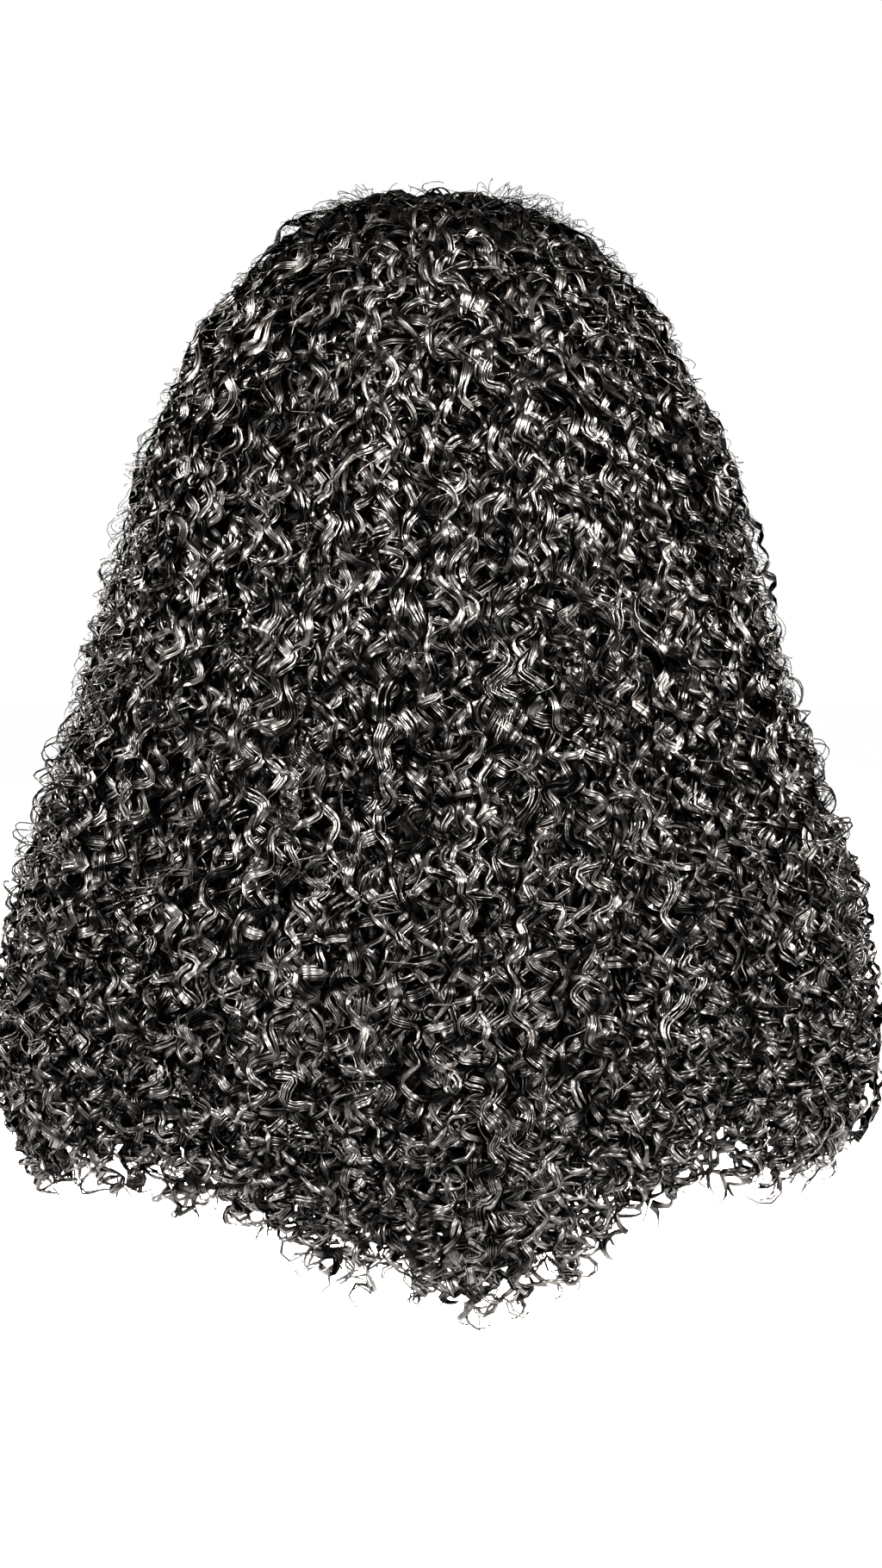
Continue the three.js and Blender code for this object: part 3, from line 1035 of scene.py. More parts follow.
def write_mesh(name: str, corners: Array, loops: Array, sizes: Array, maps: Array) -> bpy.types.Mesh:
    """Makes a mesh from arrays.

    Args:
        name: The mesh's name.
        corners: Points in metres.
        loops: The corner numbers of all faces, one face after another.
        sizes: How many corners each face has.
        maps: The map's place for each of the loops.

    Returns:
        The smooth-shaded mesh.
    """
    mesh = bpy.data.meshes.new(name)
    mesh.vertices.add(len(corners))
    mesh.vertices.foreach_set("co", corners.astype(np.float32).ravel())
    mesh.loops.add(len(loops))
    mesh.loops.foreach_set("vertex_index", loops.astype(np.int32))
    mesh.polygons.add(len(sizes))
    starts = np.concatenate(([0], np.cumsum(sizes)[:-1]))
    mesh.polygons.foreach_set("loop_start", starts.astype(np.int32))
    mesh.polygons.foreach_set("use_smooth", np.ones(len(sizes), dtype=bool))
    for layer in (STRAND_MAP, BAKE_MAP):
        made = mesh.uv_layers.new(name=layer)
        made.data.foreach_set("uv", maps.astype(np.float32).ravel())
    mesh.update(calc_edges=True)
    mesh.validate()
    return mesh


def crease_edges(mesh: bpy.types.Mesh, pairs: Array) -> None:
    """Keeps the shading of the faces on the two sides of some edges apart.

    Args:
        mesh: The mesh.
        pairs: The two corner numbers of each edge, the smaller one first.
    """
    ends = np.zeros(len(mesh.edges) * 2, dtype=np.int32)
    mesh.edges.foreach_get("vertices", ends)
    ends = np.sort(ends.reshape(-1, 2), axis=1).astype(np.int64)
    count = len(mesh.vertices)
    sharp = np.isin(ends[:, 0] * count + ends[:, 1], pairs[:, 0].astype(np.int64) * count + pairs[:, 1])
    mesh.attributes.new("sharp_edge", "BOOLEAN", "EDGE").data.foreach_set("value", sharp)


class Curl(Enum):
    """How a lock is curled."""

    RIBBON = "ribbon"
    COIL = "coil"
    CRIMP = "crimp"
    WAVE = "wave"
    RINGLET = "ringlet"
    LOOSE = "loose"
    INNER = "inner"


@dataclass(frozen=True)
class CurlStyle:
    """One kind of curl: sizes in metres, as (least, most) where they vary from lock to lock.

    A roll of 0 waves flat from side to side, and a roll of 1 winds like a coil. Strands of a lock stand apart
    by spacing down it, by abreast across it and by stray in their turn. Lower locks tighten by a share.
    """

    side: Limits
    rise: Limits
    turns: float
    strands: int
    width: Limits
    steps: int
    roll: Limits
    spacing: float = 0.0
    stray: float = 0.0
    thickness: float = 0.75
    profile: Profile = ROUND
    abreast: float = 0.0
    tighten: float = 0.0


STYLES = {
    Curl.RIBBON: CurlStyle(
        mm(2.0, 5.2), mm(2.0, 3.5), turns=4.6, strands=1, width=mm(2.6, 5.8), steps=58, roll=(0.0, 0.6),
        thickness=0.18, profile=FLAT, tighten=0.4,
    ),
    Curl.COIL: CurlStyle(
        mm(3.0, 5.4), mm(2.2, 3.6), turns=9.5, strands=3, width=mm(0.7, 1.1), steps=58, roll=(0.6, 1.0),
        spacing=1.2 * MM, stray=0.35,
    ),
    Curl.CRIMP: CurlStyle(
        mm(2.8, 4.6), mm(1.8, 2.8), turns=8.5, strands=3, width=mm(0.7, 1.1), steps=52, roll=(0.5, 1.0),
        spacing=1.3 * MM, stray=0.2,
    ),
    Curl.WAVE: CurlStyle(
        mm(3.0, 5.6), mm(1.8, 2.8), turns=4.6, strands=5, width=mm(0.7, 1.1), steps=52, roll=(0.1, 0.6),
        stray=0.12, abreast=1.5 * MM, tighten=0.3,
    ),
    Curl.RINGLET: CurlStyle(
        mm(3.4, 6.4), mm(3.0, 5.6), turns=5.8, strands=2, width=mm(1.2, 2.2), steps=41, roll=(0.6, 1.0),
        spacing=1.2 * MM, stray=0.25,
    ),
    Curl.LOOSE: CurlStyle(
        mm(4.0, 7.0), mm(3.4, 6.0), turns=4.8, strands=2, width=mm(0.6, 1.0), steps=60, roll=(0.8, 1.0),
        spacing=1.1 * MM, stray=0.35,
    ),
    Curl.INNER: CurlStyle(
        mm(3.0, 6.0), mm(2.4, 4.0), turns=4.6, strands=1, width=mm(6.0, 9.5), steps=48, roll=(0.0, 0.5),
        thickness=0.2, profile=FLAT,
    ),
}


@dataclass(frozen=True)
class LockPlan:
    """Where locks run: azimuth and length at both ends, depth below the outer face, and how they curl."""

    azimuth: Array
    start: Array
    end: Array
    depth: Array
    root_depth: Array
    style: CurlStyle

    def pick(self, keep: Array) -> "LockPlan":
        """The plan with only some of its locks."""
        names = ("azimuth", "start", "end", "depth", "root_depth")
        return replace(self, **{name: getattr(self, name)[keep] for name in names})


@dataclass
class LockMaker:
    """Curls locks of strands along the hair's body, with shares of a lock's length from root to tip."""

    form: HairForm
    rng: Random
    sways: tuple[tuple[float, Limits], ...] = ((7.0 * MM, (0.5, 1.2)), (3.0 * MM, (1.6, 3.0)))
    least_sway: float = 0.4
    lean: float = 0.1
    crown_sway: float = 0.3
    crown_calm: Limits = mm(30.0, 150.0)
    least_radius: float = 40.0 * MM
    heave: Limits = mm(1.0, 3.6)
    heave_turns: Limits = (1.0, 2.2)
    root_end: Limits = (0.0, 0.2)
    tip_tuck: float = 4.0 * MM
    tip_end: Limits = (0.88, 1.0)
    tighter_from: Limits = mm(160.0, 390.0)
    turn_spread: Limits = (0.72, 1.25)
    wobble: float = 0.5
    wobble_speed: Limits = (8.0, 15.0)
    root_size: float = 0.25
    opens_over: Limits = (0.0, 0.12)
    size_spread: float = 0.1
    size_wave: float = 0.12
    size_speed: float = 9.0
    flat_bulge: float = 0.7
    flat_swing: float = 0.3
    shift_spread: float = 0.25 * MM
    beside_spread: float = 0.3
    root_width: float = 0.45
    root_taper: Limits = (0.0, 0.05)
    tip_width: float = 0.35
    tip_taper: Limits = (0.0, 0.12)
    width_wave: float = 0.3
    width_speed: Limits = (5.0, 14.0)

    def _wave(self, along: Array, count: int, size: Limits, turns: Limits) -> Array:
        """A sine wave down each lock, with its own start, number of turns and size."""
        phase = between(self.rng, (0.0, FULL_TURN), (count, 1))
        speed = FULL_TURN * between(self.rng, turns, (count, 1))
        return between(self.rng, size, (count, 1)) * np.sin(phase + speed * along)

    def _ripple(self, along: Array, shape: tuple[int, ...], speed: Limits) -> Array:
        """A sine wave of size 1 along strands, with its own start and speed."""
        return np.sin(between(self.rng, ANY_PHASE, shape) + along * between(self.rng, speed, shape))

    def axis(self, plan: LockPlan, along: Array) -> tuple[Array, Array, Array]:
        """Lays the line that each lock winds round.

        Args:
            plan: The locks.
            along: Shares from root to tip.

        Returns:
            The lines' points, and their downward and outward directions.
        """
        count = len(plan.azimuth)
        span = (plan.end - plan.start)[:, None]
        length = plan.start[:, None] + span * along
        sway = np.zeros_like(length)
        for size, turns in self.sways:
            sway = sway + self._wave(along, count, (self.least_sway * size, size), turns)
        sway = sway + self.rng.normal(0.0, self.lean, (count, 1)) * span * along
        sway = sway * grown(length, self.crown_calm, self.crown_sway)
        radius = self.form.radius(plan.azimuth, plan.start, self.least_radius)[:, None]
        limit = np.maximum(np.abs(plan.azimuth), math.radians(self.form.opening.side))[:, None]
        azimuth = np.clip(plan.azimuth[:, None] + sway / radius, -limit, limit)
        outer, hollow = self.form.faces(azimuth, length)
        out = unit(outer - hollow)
        tuck = plan.root_depth[:, None] * (1.0 - smooth(along, *self.root_end))
        tuck = tuck + self.tip_tuck * smooth(along, *self.tip_end)
        heave = self._wave(along, count, self.heave, self.heave_turns)
        points = outer - out * (plan.depth[:, None] + tuck + heave)[..., None]
        down = unit(np.gradient(points, axis=1))
        return points, down, square_to(out, down)

    def turning(self, plan: LockPlan, along: Array) -> Array:
        """Turns the strands round their locks' lines.

        Args:
            plan: The locks.
            along: Shares from root to tip.

        Returns:
            Angles by lock, strand and share.
        """
        style, each = plan.style, (len(plan.azimuth), 1, 1)
        hand = self.rng.choice((-1.0, 1.0), each)
        tight = 1.0 + style.tighten * smooth(plan.start, *self.tighter_from)[:, None, None]
        turns = style.turns * between(self.rng, self.turn_spread, each) * tight
        wobble = self.wobble * self._ripple(along, each, self.wobble_speed)
        phase = between(self.rng, (0.0, FULL_TURN), each)
        turn = hand * FULL_TURN * turns * along + phase + wobble
        return turn + self.rng.normal(0.0, style.stray, (each[0], style.strands, 1))

    def make(self, plan: LockPlan) -> StrandBatch:
        """Curls every lock of a plan.

        Args:
            plan: The locks.

        Returns:
            Their strands.
        """
        style, count = plan.style, len(plan.azimuth)
        each, shape = (count, 1, 1), (count, style.strands, 1)
        along = np.linspace(0.0, 1.0, style.steps + 1)[None, :]
        line, down, out = (part[:, None] for part in self.axis(plan, along))
        across = np.cross(down, out)
        along = along[None]
        turn = self.turning(plan, along)
        size = 1.0 + self.rng.normal(0.0, self.size_spread, shape)
        size = size + self.size_wave * np.sin(along * self.size_speed + between(self.rng, ANY_PHASE, shape))
        opened = grown(along, self.opens_over, self.root_size)
        side = between(self.rng, style.side, each) * size * opened
        rise = between(self.rng, style.rise, each) * size * opened
        slots = (np.arange(style.strands) - (style.strands - 1) / 2.0)[None, :, None]
        shift = slots * style.spacing + self.rng.normal(0.0, self.shift_spread, shape)
        roll = between(self.rng, style.roll, each)
        beside = slots * style.abreast + self.rng.normal(0.0, self.beside_spread * style.abreast, shape)
        bulge = (roll * np.cos(turn) + (1.0 - roll) * self.flat_bulge * np.cos(2.0 * turn)) * rise
        swing = np.sin(turn)[..., None] * across
        points = line + down * shift[..., None] + out * bulge[..., None] + swing * side[..., None]
        points = points + across * beside[..., None]
        aside = self.flat_swing + (1.0 - self.flat_swing) * roll
        facing = (roll * np.cos(turn) + 1.0 - roll)[..., None] * out + aside[..., None] * swing
        width = between(self.rng, style.width, shape) * grown(along, self.root_taper, self.root_width)
        width = width * grown(1.0 - along, self.tip_taper, self.tip_width)
        width = width * (1.0 + self.width_wave * self._ripple(along, shape, self.width_speed))
        flat = (count * style.strands, style.steps + 1)
        width = width.reshape(flat)
        points, facing = (part.reshape(*flat, 3) for part in (points, facing))
        return StrandBatch(points, facing, width, style.thickness * width, style.profile)


@dataclass
class CrownHair:
    """The outer bell of hair: rows of flat waved locks, finer curls over them and ringlets at the hem."""

    form: HairForm
    rng: Random
    pieces: int = 3
    ribbon_step: float = 42.0 * MM
    ribbon_gap: float = 6.1 * MM
    curl_step: float = 72.0 * MM
    curl_gap: float = 40.0 * MM
    curl_sink: float = 0.4 * MM
    first_level: float = 4.0 * MM
    first_jitter: float = 6.0 * MM
    highest: float = 2.0 * MM
    fewest_round: int = 14
    turn_jitter: Limits = (-0.35, 0.35)
    level_jitter: Limits = (-0.4, 0.4)
    girth_below: float = 45.0 * MM
    lock_length: Limits = mm(98.0, 132.0)
    shortest: float = 34.0 * MM
    above_hem: float = 4.0 * MM
    above_hem_spread: float = 34.0 * MM
    hem_from: Limits = mm(60.0, 400.0)
    depth: float = 5.0 * MM
    root_depth: Limits = mm(4.0, 8.0)
    swell_across: float = 2.5 * MM
    swell_down: float = 2.8 * MM
    swell_from: Limits = mm(10.0, 90.0)
    uneven_in: float = 3.2 * MM
    uneven_out: float = 9.6 * MM
    uneven_power: float = 2.5
    uneven_from: Limits = mm(0.0, 70.0)
    crimp_to: float = 95.0 * MM
    curls_to: float = math.radians(126.0)
    curls_round_to: float = 24.0 * MM
    wave_share: float = 0.35
    hem_gap: float = 8.4 * MM
    hem_depths: tuple[float, ...] = (3.0 * MM, 12.0 * MM, 20.0 * MM, 28.0 * MM)
    hem_spreads: tuple[float, ...] = (122.0, 122.0, 34.0, 30.0)
    hem_samples: int = 200
    hem_jitter: Limits = mm(-3.0, 4.0)
    hem_end: Limits = mm(-24.0, 7.0)
    hem_length: Limits = mm(64.0, 100.0)
    hem_highest: float = 10.0 * MM
    hem_root: float = 3.0 * MM

    def scatter(self, row_step: float, lock_gap: float) -> LockPlan:
        """Sets locks in overlapping rows over the outer face, and keeps them above the hem.

        Args:
            row_step: The way from row to row.
            lock_gap: The way from lock to lock round a row.

        Returns:
            The locks, as flat waved ones.
        """
        starts, azimuths = [], []
        for row in range(int(self.form.longest / row_step) + 1):
            level = self.first_level + row * row_step
            around = max(self.fewest_round, int(self.form.girth(level + self.girth_below) / lock_gap))
            turn = np.arange(around) + between(self.rng, self.turn_jitter, around)
            turn = turn / around + 0.5 * (row % 2) / around
            azimuths.append((turn * 2.0 - 1.0) * math.pi)
            jitter = between(self.rng, self.level_jitter, around) * (row_step if row else self.first_jitter)
            starts.append(np.maximum(level + jitter, self.highest))
        azimuth, start = np.concatenate(azimuths), np.concatenate(starts)
        azimuth = (azimuth + math.pi) % FULL_TURN - math.pi
        count = len(azimuth)
        tip = self.form.tip_length(azimuth)
        above = self.rng.uniform(0.0, 1.0, count) * smooth(tip, *self.hem_from)
        lowest = tip - (self.above_hem + self.above_hem_spread * above)
        end = np.minimum(start + between(self.rng, self.lock_length, count), lowest)
        swell = self.relief(azimuth, start) * smooth(start, *self.swell_from)
        uneven = self.uneven_in - self.uneven_out * self.rng.uniform(0.0, 1.0, count) ** self.uneven_power
        depth = self.depth + swell + uneven * smooth(start, *self.uneven_from)
        root_depth = between(self.rng, self.root_depth, count)
        plan = LockPlan(azimuth, start, end, depth, root_depth, STYLES[Curl.RIBBON])
        return plan.pick(end - start > self.shortest)

    def relief(self, azimuth: Array, length: Array) -> Array:
        """Soft swells and partings of the outer face, as a depth."""
        across = np.sin(azimuth * 9.0 + 7.0 * length) + 0.6 * np.sin(azimuth * 17.0 - 11.0 * length + 2.0)
        down = np.sin(length * 62.0 + azimuth * 3.0) + 0.5 * np.sin(length * 118.0 - azimuth * 5.0)
        return self.swell_across * across + self.swell_down * down

    def ribbon_plans(self) -> list[LockPlan]:
        """The flat waved locks."""
        return [self.scatter(self.ribbon_step, self.ribbon_gap)]

    def curl_plans(self) -> list[LockPlan]:
        """Sorts the finer curls by how they curl.

        Returns:
            The hem's ringlets, then crimps near the crown, and waves and coils below.
        """
        whole = self.scatter(self.curl_step, self.curl_gap)
        whole = whole.pick((np.abs(whole.azimuth) < self.curls_to) | (whole.start < self.curls_round_to))
        crimp = whole.start < self.crimp_to
        wave = (self.rng.uniform(0.0, 1.0, len(whole.start)) < self.wave_share) & ~crimp
        made = [self.hem_plan()]
        for curl, mask in ((Curl.CRIMP, crimp), (Curl.WAVE, wave), (Curl.COIL, ~(crimp | wave))):
            plan = whole.pick(mask)
            made.append(replace(plan, depth=plan.depth + self.curl_sink, style=STYLES[curl]))
        return made

    def hem_plan(self) -> LockPlan:
        """Hangs ringlets free at the hem.

        Returns:
            The ringlets of every hem row, one row behind another.
        """
        azimuths, depths = [], []
        for depth, spread in zip(self.hem_depths, self.hem_spreads):
            turn = np.radians(np.linspace(-spread, spread, self.hem_samples))
            steps = step_lengths(self.form.faces(turn, self.form.tip_length(turn))[0])
            way = np.concatenate(([0.0], np.cumsum(steps)))
            count = int(way[-1] / self.hem_gap)
            spots = (np.arange(count) + self.rng.uniform(0.1, 0.9, count)) * way[-1] / count
            azimuths.append(np.interp(spots, way, turn))
            depths.append(depth + between(self.rng, self.hem_jitter, count))
        azimuth, depth = np.concatenate(azimuths), np.concatenate(depths)
        count = len(azimuth)
        end = self.form.tip_length(azimuth) + between(self.rng, self.hem_end, count)
        start = np.maximum(end - between(self.rng, self.hem_length, count), self.hem_highest)
        return LockPlan(azimuth, start, end, depth, np.full(count, self.hem_root), STYLES[Curl.RINGLET])

    def build(self, name: str, plans: list[LockPlan], material: Material) -> None:
        """Makes locks as several pieces, each a slice round the wig.

        Args:
            name: The pieces' name, before their number.
            plans: The locks.
            material: Their material.
        """
        maker = LockMaker(self.form, self.rng)
        azimuths = np.concatenate([plan.azimuth for plan in plans])
        cuts = np.quantile(azimuths, np.linspace(0.0, 1.0, self.pieces + 1))
        cuts[-1] += 1.0
        for number, (low, high) in enumerate(zip(cuts[:-1], cuts[1:]), start=1):
            mesh = StrandMesh(f"{name}_{number}")
            for plan in plans:
                mesh.add(maker.make(plan.pick((plan.azimuth >= low) & (plan.azimuth < high))))
            mesh.build(self.rng, material, CROWN)


@dataclass
class Flyaways:
    """Loose ringlets beside the outline and fine stray hairs all over it, with angles in degrees."""

    form: HairForm
    rng: Random
    ringlets: int = 44
    ringlet_turn: Limits = (58.0, 98.0)
    ringlet_start: Limits = mm(225.0, 440.0)
    ringlet_length: Limits = mm(60.0, 100.0)
    ringlet_shortest: float = 40.0 * MM
    ringlet_depth: Limits = mm(-4.0, 2.0)
    ringlet_root: float = 14.0 * MM
    hairs: int = 1700
    hair_steps: int = 8
    hair_width: Limits = mm(0.26, 0.42)
    hair_length: Limits = mm(10.0, 34.0)
    hair_start: float = 30.0 * MM
    hair_above_tip: float = 30.0 * MM
    flank_share: float = 0.5
    flank_turn: float = 60.0
    widest_turn: float = 112.0
    least_radius: float = 30.0 * MM
    bend: float = 3.5 * MM
    curl: float = 2.0 * MM
    lift: Limits = mm(1.5, 7.5)
    tip_sunk: float = 0.5 * MM
    root_sunk: float = 7.0 * MM

    def loose_ringlets(self) -> LockPlan:
        """Hangs ringlets a little clear of the sides.

        Returns:
            The ringlets that are long enough.
        """
        count = self.ringlets
        side = self.rng.choice((-1.0, 1.0), count)
        azimuth = side * np.radians(between(self.rng, self.ringlet_turn, count))
        start = between(self.rng, self.ringlet_start, count)
        end = np.minimum(start + between(self.rng, self.ringlet_length, count), self.form.tip_length(azimuth))
        depth = between(self.rng, self.ringlet_depth, count)
        plan = LockPlan(azimuth, start, end, depth, np.full(count, self.ringlet_root), STYLES[Curl.LOOSE])
        return plan.pick(end - start > self.ringlet_shortest)

    def stray_hairs(self) -> StrandBatch:
        """Lifts fine hairs off the outer face in loose bends.

        Returns:
            The hairs, of which a share is kept to the flanks.
        """
        count, each = self.hairs, (self.hairs, 1)
        flank = np.where(self.rng.uniform(0.0, 1.0, count) < self.flank_share, self.flank_turn, 0.0)
        side = self.rng.choice((-1.0, 1.0), count)
        azimuth = np.radians(side * self.rng.uniform(flank, self.widest_turn))
        room = self.form.tip_length(azimuth) - (self.hair_start + self.hair_above_tip)
        start = self.hair_start + self.rng.uniform(0.0, 1.0, count) * room
        along = np.linspace(0.0, 1.0, self.hair_steps + 1)[None, :]
        reach = between(self.rng, self.hair_length, each) * along
        length = np.clip(start[:, None] + reach * self.rng.uniform(-0.3, 1.0, each), 1.0 * MM, None)
        radius = self.form.radius(azimuth, start, self.least_radius)[:, None]
        bend = np.sin(along * self.rng.uniform(3.0, 8.0, each) + between(self.rng, ANY_PHASE, each))
        drift = reach * self.rng.uniform(-0.6, 0.6, each) + self.bend * bend
        outer, hollow = self.form.faces(azimuth[:, None] + drift / radius, length)
        out = unit(outer - hollow)
        curl = np.cos(along * self.rng.uniform(4.0, 9.0, each) + between(self.rng, ANY_PHASE, each))
        sunk = self.tip_sunk + self.root_sunk * (1.0 - along) ** 2
        lift = between(self.rng, self.lift, each) * np.sin(along * 2.4) + self.curl * curl - sunk
        width = between(self.rng, self.hair_width, each) * np.ones_like(along)
        return StrandBatch(outer + out * lift[..., None], out, width, width)

    def build(self, material: Material) -> None:
        """Makes both kinds as one piece.

        Args:
            material: The hair's material.
        """
        mesh = StrandMesh("stray_curls")
        mesh.add(LockMaker(self.form, self.rng).make(self.loose_ringlets()))
        mesh.add(self.stray_hairs())
        mesh.build(self.rng, material)


@dataclass
class InnerHair:
    """The rows as seen from inside: locks on each row's hollow side and tips at its hem."""

    form: HairForm
    layers: WeftLayers
    rng: Random
    first_gap: float = 2.0 * MM
    row_step: float = 72.0 * MM
    lock_gap: float = 9.0 * MM
    fewest_round: int = 4
    lock_length: Limits = mm(92.0, 125.0)
    shortest: float = 36.0 * MM
    above_hem: Limits = mm(6.0, 40.0)
    rise: Limits = mm(3.0, 6.0)
    root_depth: float = -4.0 * MM
    widest: float = math.radians(118.0)
    samples: int = 60
    overlap: float = 0.06
    jitter: Limits = (-0.3, 0.3)

    def plan(self, row: int) -> LockPlan:
        """Sets locks over the part of a row's hollow side that no other row covers.

        Args:
            row: The row's number from the inside.

        Returns:
            The locks that are long enough.
        """
        first = self.layers.root_length(row) + self.first_gap
        azimuths, starts = [], []
        for level in np.arange(first, self.form.longest, self.row_step):
            levels = np.array([level])
            wide = min(float(self.layers.spread(row, levels)[0]), self.widest)
            covered = 0.0
            if row and level >= self.layers.root_length(row - 1) - 0.5 * self.row_step:
                covered = float(self.layers.spread(row - 1, levels)[0])
            ring = np.linspace(-wide, wide, self.samples)
            hollow = self.form.faces(ring, np.full_like(ring, level))[1]
            around = max(self.fewest_round, int(step_lengths(hollow).sum() / self.lock_gap))
            turn = (np.arange(around) + self.rng.uniform(0.1, 0.9, around)) / around
            turn = (turn * 2.0 - 1.0) * wide
            turn = turn[np.abs(turn) > covered - self.overlap]
            azimuths.append(turn)
            shift = between(self.rng, self.jitter, len(turn)) * self.row_step
            starts.append(level + shift * (level > first))
        azimuth, start = np.concatenate(azimuths), np.concatenate(starts)
        count = len(start)
        end = start + between(self.rng, self.lock_length, count)
        end = np.minimum(end, self.form.tip_length(azimuth) - between(self.rng, self.above_hem, count))
        outer, hollow = self.form.faces(azimuth, start)
        thick = np.linalg.norm(outer - hollow, axis=1)
        depth = thick * (1.0 - self.layers.below(row, start)) - between(self.rng, self.rise, count)
        plan = LockPlan(azimuth, start, end, depth, np.full(count, self.root_depth), STYLES[Curl.INNER])
        return plan.pick(end - start > self.shortest)

    def build(self, material: Material) -> None:
        """Makes one piece for each row, the crown's hollow side included.

        Args:
            material: The locks' material.
        """
        maker = LockMaker(self.form, self.rng)
        for row, name in enumerate(ROWS):
            mesh = StrandMesh(f"{name}_inner_locks")
            mesh.add(maker.make(self.plan(row)))
            mesh.build(self.rng, material, name)


@dataclass
class SheetWall:
    """A wall of even thickness behind a curved face that is given on a grid of columns and rows."""

    name: str
    face: Array
    thickness: float
    seam: float = 0.02 * MM

    def build(self, maps: Array) -> Piece:
        """Bends a grid to the face, closes its seam and gives it its thickness.

        Args:
            maps: The finish's own map at each point of the grid, as columns, rows and two numbers.

        Returns:
            The smooth-shaded wall.
        """
        columns, rows = self.face.shape[0] - 1, self.face.shape[1] - 1
        mesh = bmesh.new()
        bmesh.ops.create_grid(mesh, x_segments=columns, y_segments=rows, size=1.0)
        finish_map, bake_map = (mesh.loops.layers.uv.new(layer) for layer in (STRAND_MAP, BAKE_MAP))
        spots = {
            vert: (round((vert.co.x + 1.0) / 2.0 * columns), round((vert.co.y + 1.0) / 2.0 * rows))
            for vert in mesh.verts
        }
        for made in mesh.faces:
            for loop in made.loops:
                i, k = spots[loop.vert]
                loop[finish_map].uv = maps[i, k]
                loop[bake_map].uv = (i / columns, k / rows)
        for vert, (i, k) in spots.items():
            vert.co = self.face[i, k]
        bmesh.ops.remove_doubles(mesh, verts=mesh.verts, dist=self.seam)
        bmesh.ops.recalc_face_normals(mesh, faces=mesh.faces)
        bmesh.ops.solidify(mesh, geom=mesh.faces, thickness=self.thickness)
        data = bpy.data.meshes.new(self.name)
        mesh.to_mesh(data)
        mesh.free()
        data.shade_smooth()
        LOG.info("%s: a wall of %d faces", self.name, len(data.polygons))
        return linked(self.name, data)


@dataclass
class Underhair:
    """The dense hair close to each weft: a thin waved wall that the locks lie on."""

    form: HairForm
    layers: WeftLayers
    wall: float = 1.6 * MM
    clear: float = 0.8 * MM
    crown_depth: float = 15.0 * MM
    inner_clear: float = 7.0 * MM
    above_tips: float = 42.0 * MM
    above_hem: float = 3.0 * MM
    hem_from: Limits = mm(60.0, 400.0)
    grows_over: float = 60.0 * MM
    crown_grid: tuple[int, int] = (110, 56)
    inner_grid: tuple[int, int] = (48, 30)
    ripple: float = 2.0 * MM
    ripple_pitch: float = 5.0 * MM

    def build(self, row: int, material: Material) -> None:
        """Makes one row's wall, with its map along and across the hair.

        Args:
            row: The row's number from the inside.
            material: The dense hair's material.
        """
        crown = ROWS[row] == CROWN
        columns, rows = self.crown_grid if crown else self.inner_grid
        share = np.linspace(-1.0, 1.0, columns + 1)
        first = self.layers.root_length(row)
        hem_turn = share * (math.pi if crown else math.radians(WEFTS[row].hem_spread))
        tip = self.form.tip_length(hem_turn)
        ragged = 1.0 + 0.12 * np.sin(hem_turn * 23.0) + 0.1 * np.sin(hem_turn * 41.0 + 1.0)
        last = tip - self.above_tips * ragged * smooth(tip, *self.hem_from) - self.above_hem
        length = first + (last[:, None] - first) * np.linspace(0.0, 1.0, rows + 1)[None, :]
        azimuth = share[:, None] * self.layers.spread(row, length)
        outer, hollow = self.form.faces(azimuth, length)
        thick = np.linalg.norm(outer - hollow, axis=-1)
        least = self.wall + self.clear
        if crown:
            wave = np.sin(length / self.ripple_pitch + 6.0 * np.sin(azimuth * 13.0))
            wave = wave + np.sin(azimuth * 47.0 + 30.0 * length)
            wave = self.ripple * wave * smooth(length, 0.0, self.grows_over)
            reach = np.maximum(thick - self.crown_depth + wave, least)
        else:
            room = np.maximum(thick - self.crown_depth - self.inner_clear - self.wall, 0.0)
            stand = self.inner_clear + self.layers.below(row, length) * room
            reach = least + smooth(length, first, first + self.grows_over) * stand
        face = hollow + unit(outer - hollow) * reach[..., None]
        across = np.concatenate((np.zeros((1, rows + 1)), np.cumsum(step_lengths(face), axis=0)))
        across = across - across[columns // 2]
        wall = SheetWall(f"{ROWS[row]}_underhair", face, self.wall)
        maps = np.stack((across, length), axis=-1) * WALL_MAP_PER_METRE
        dress(wall.build(maps), material, HAIR_SLOT, ROWS[row])


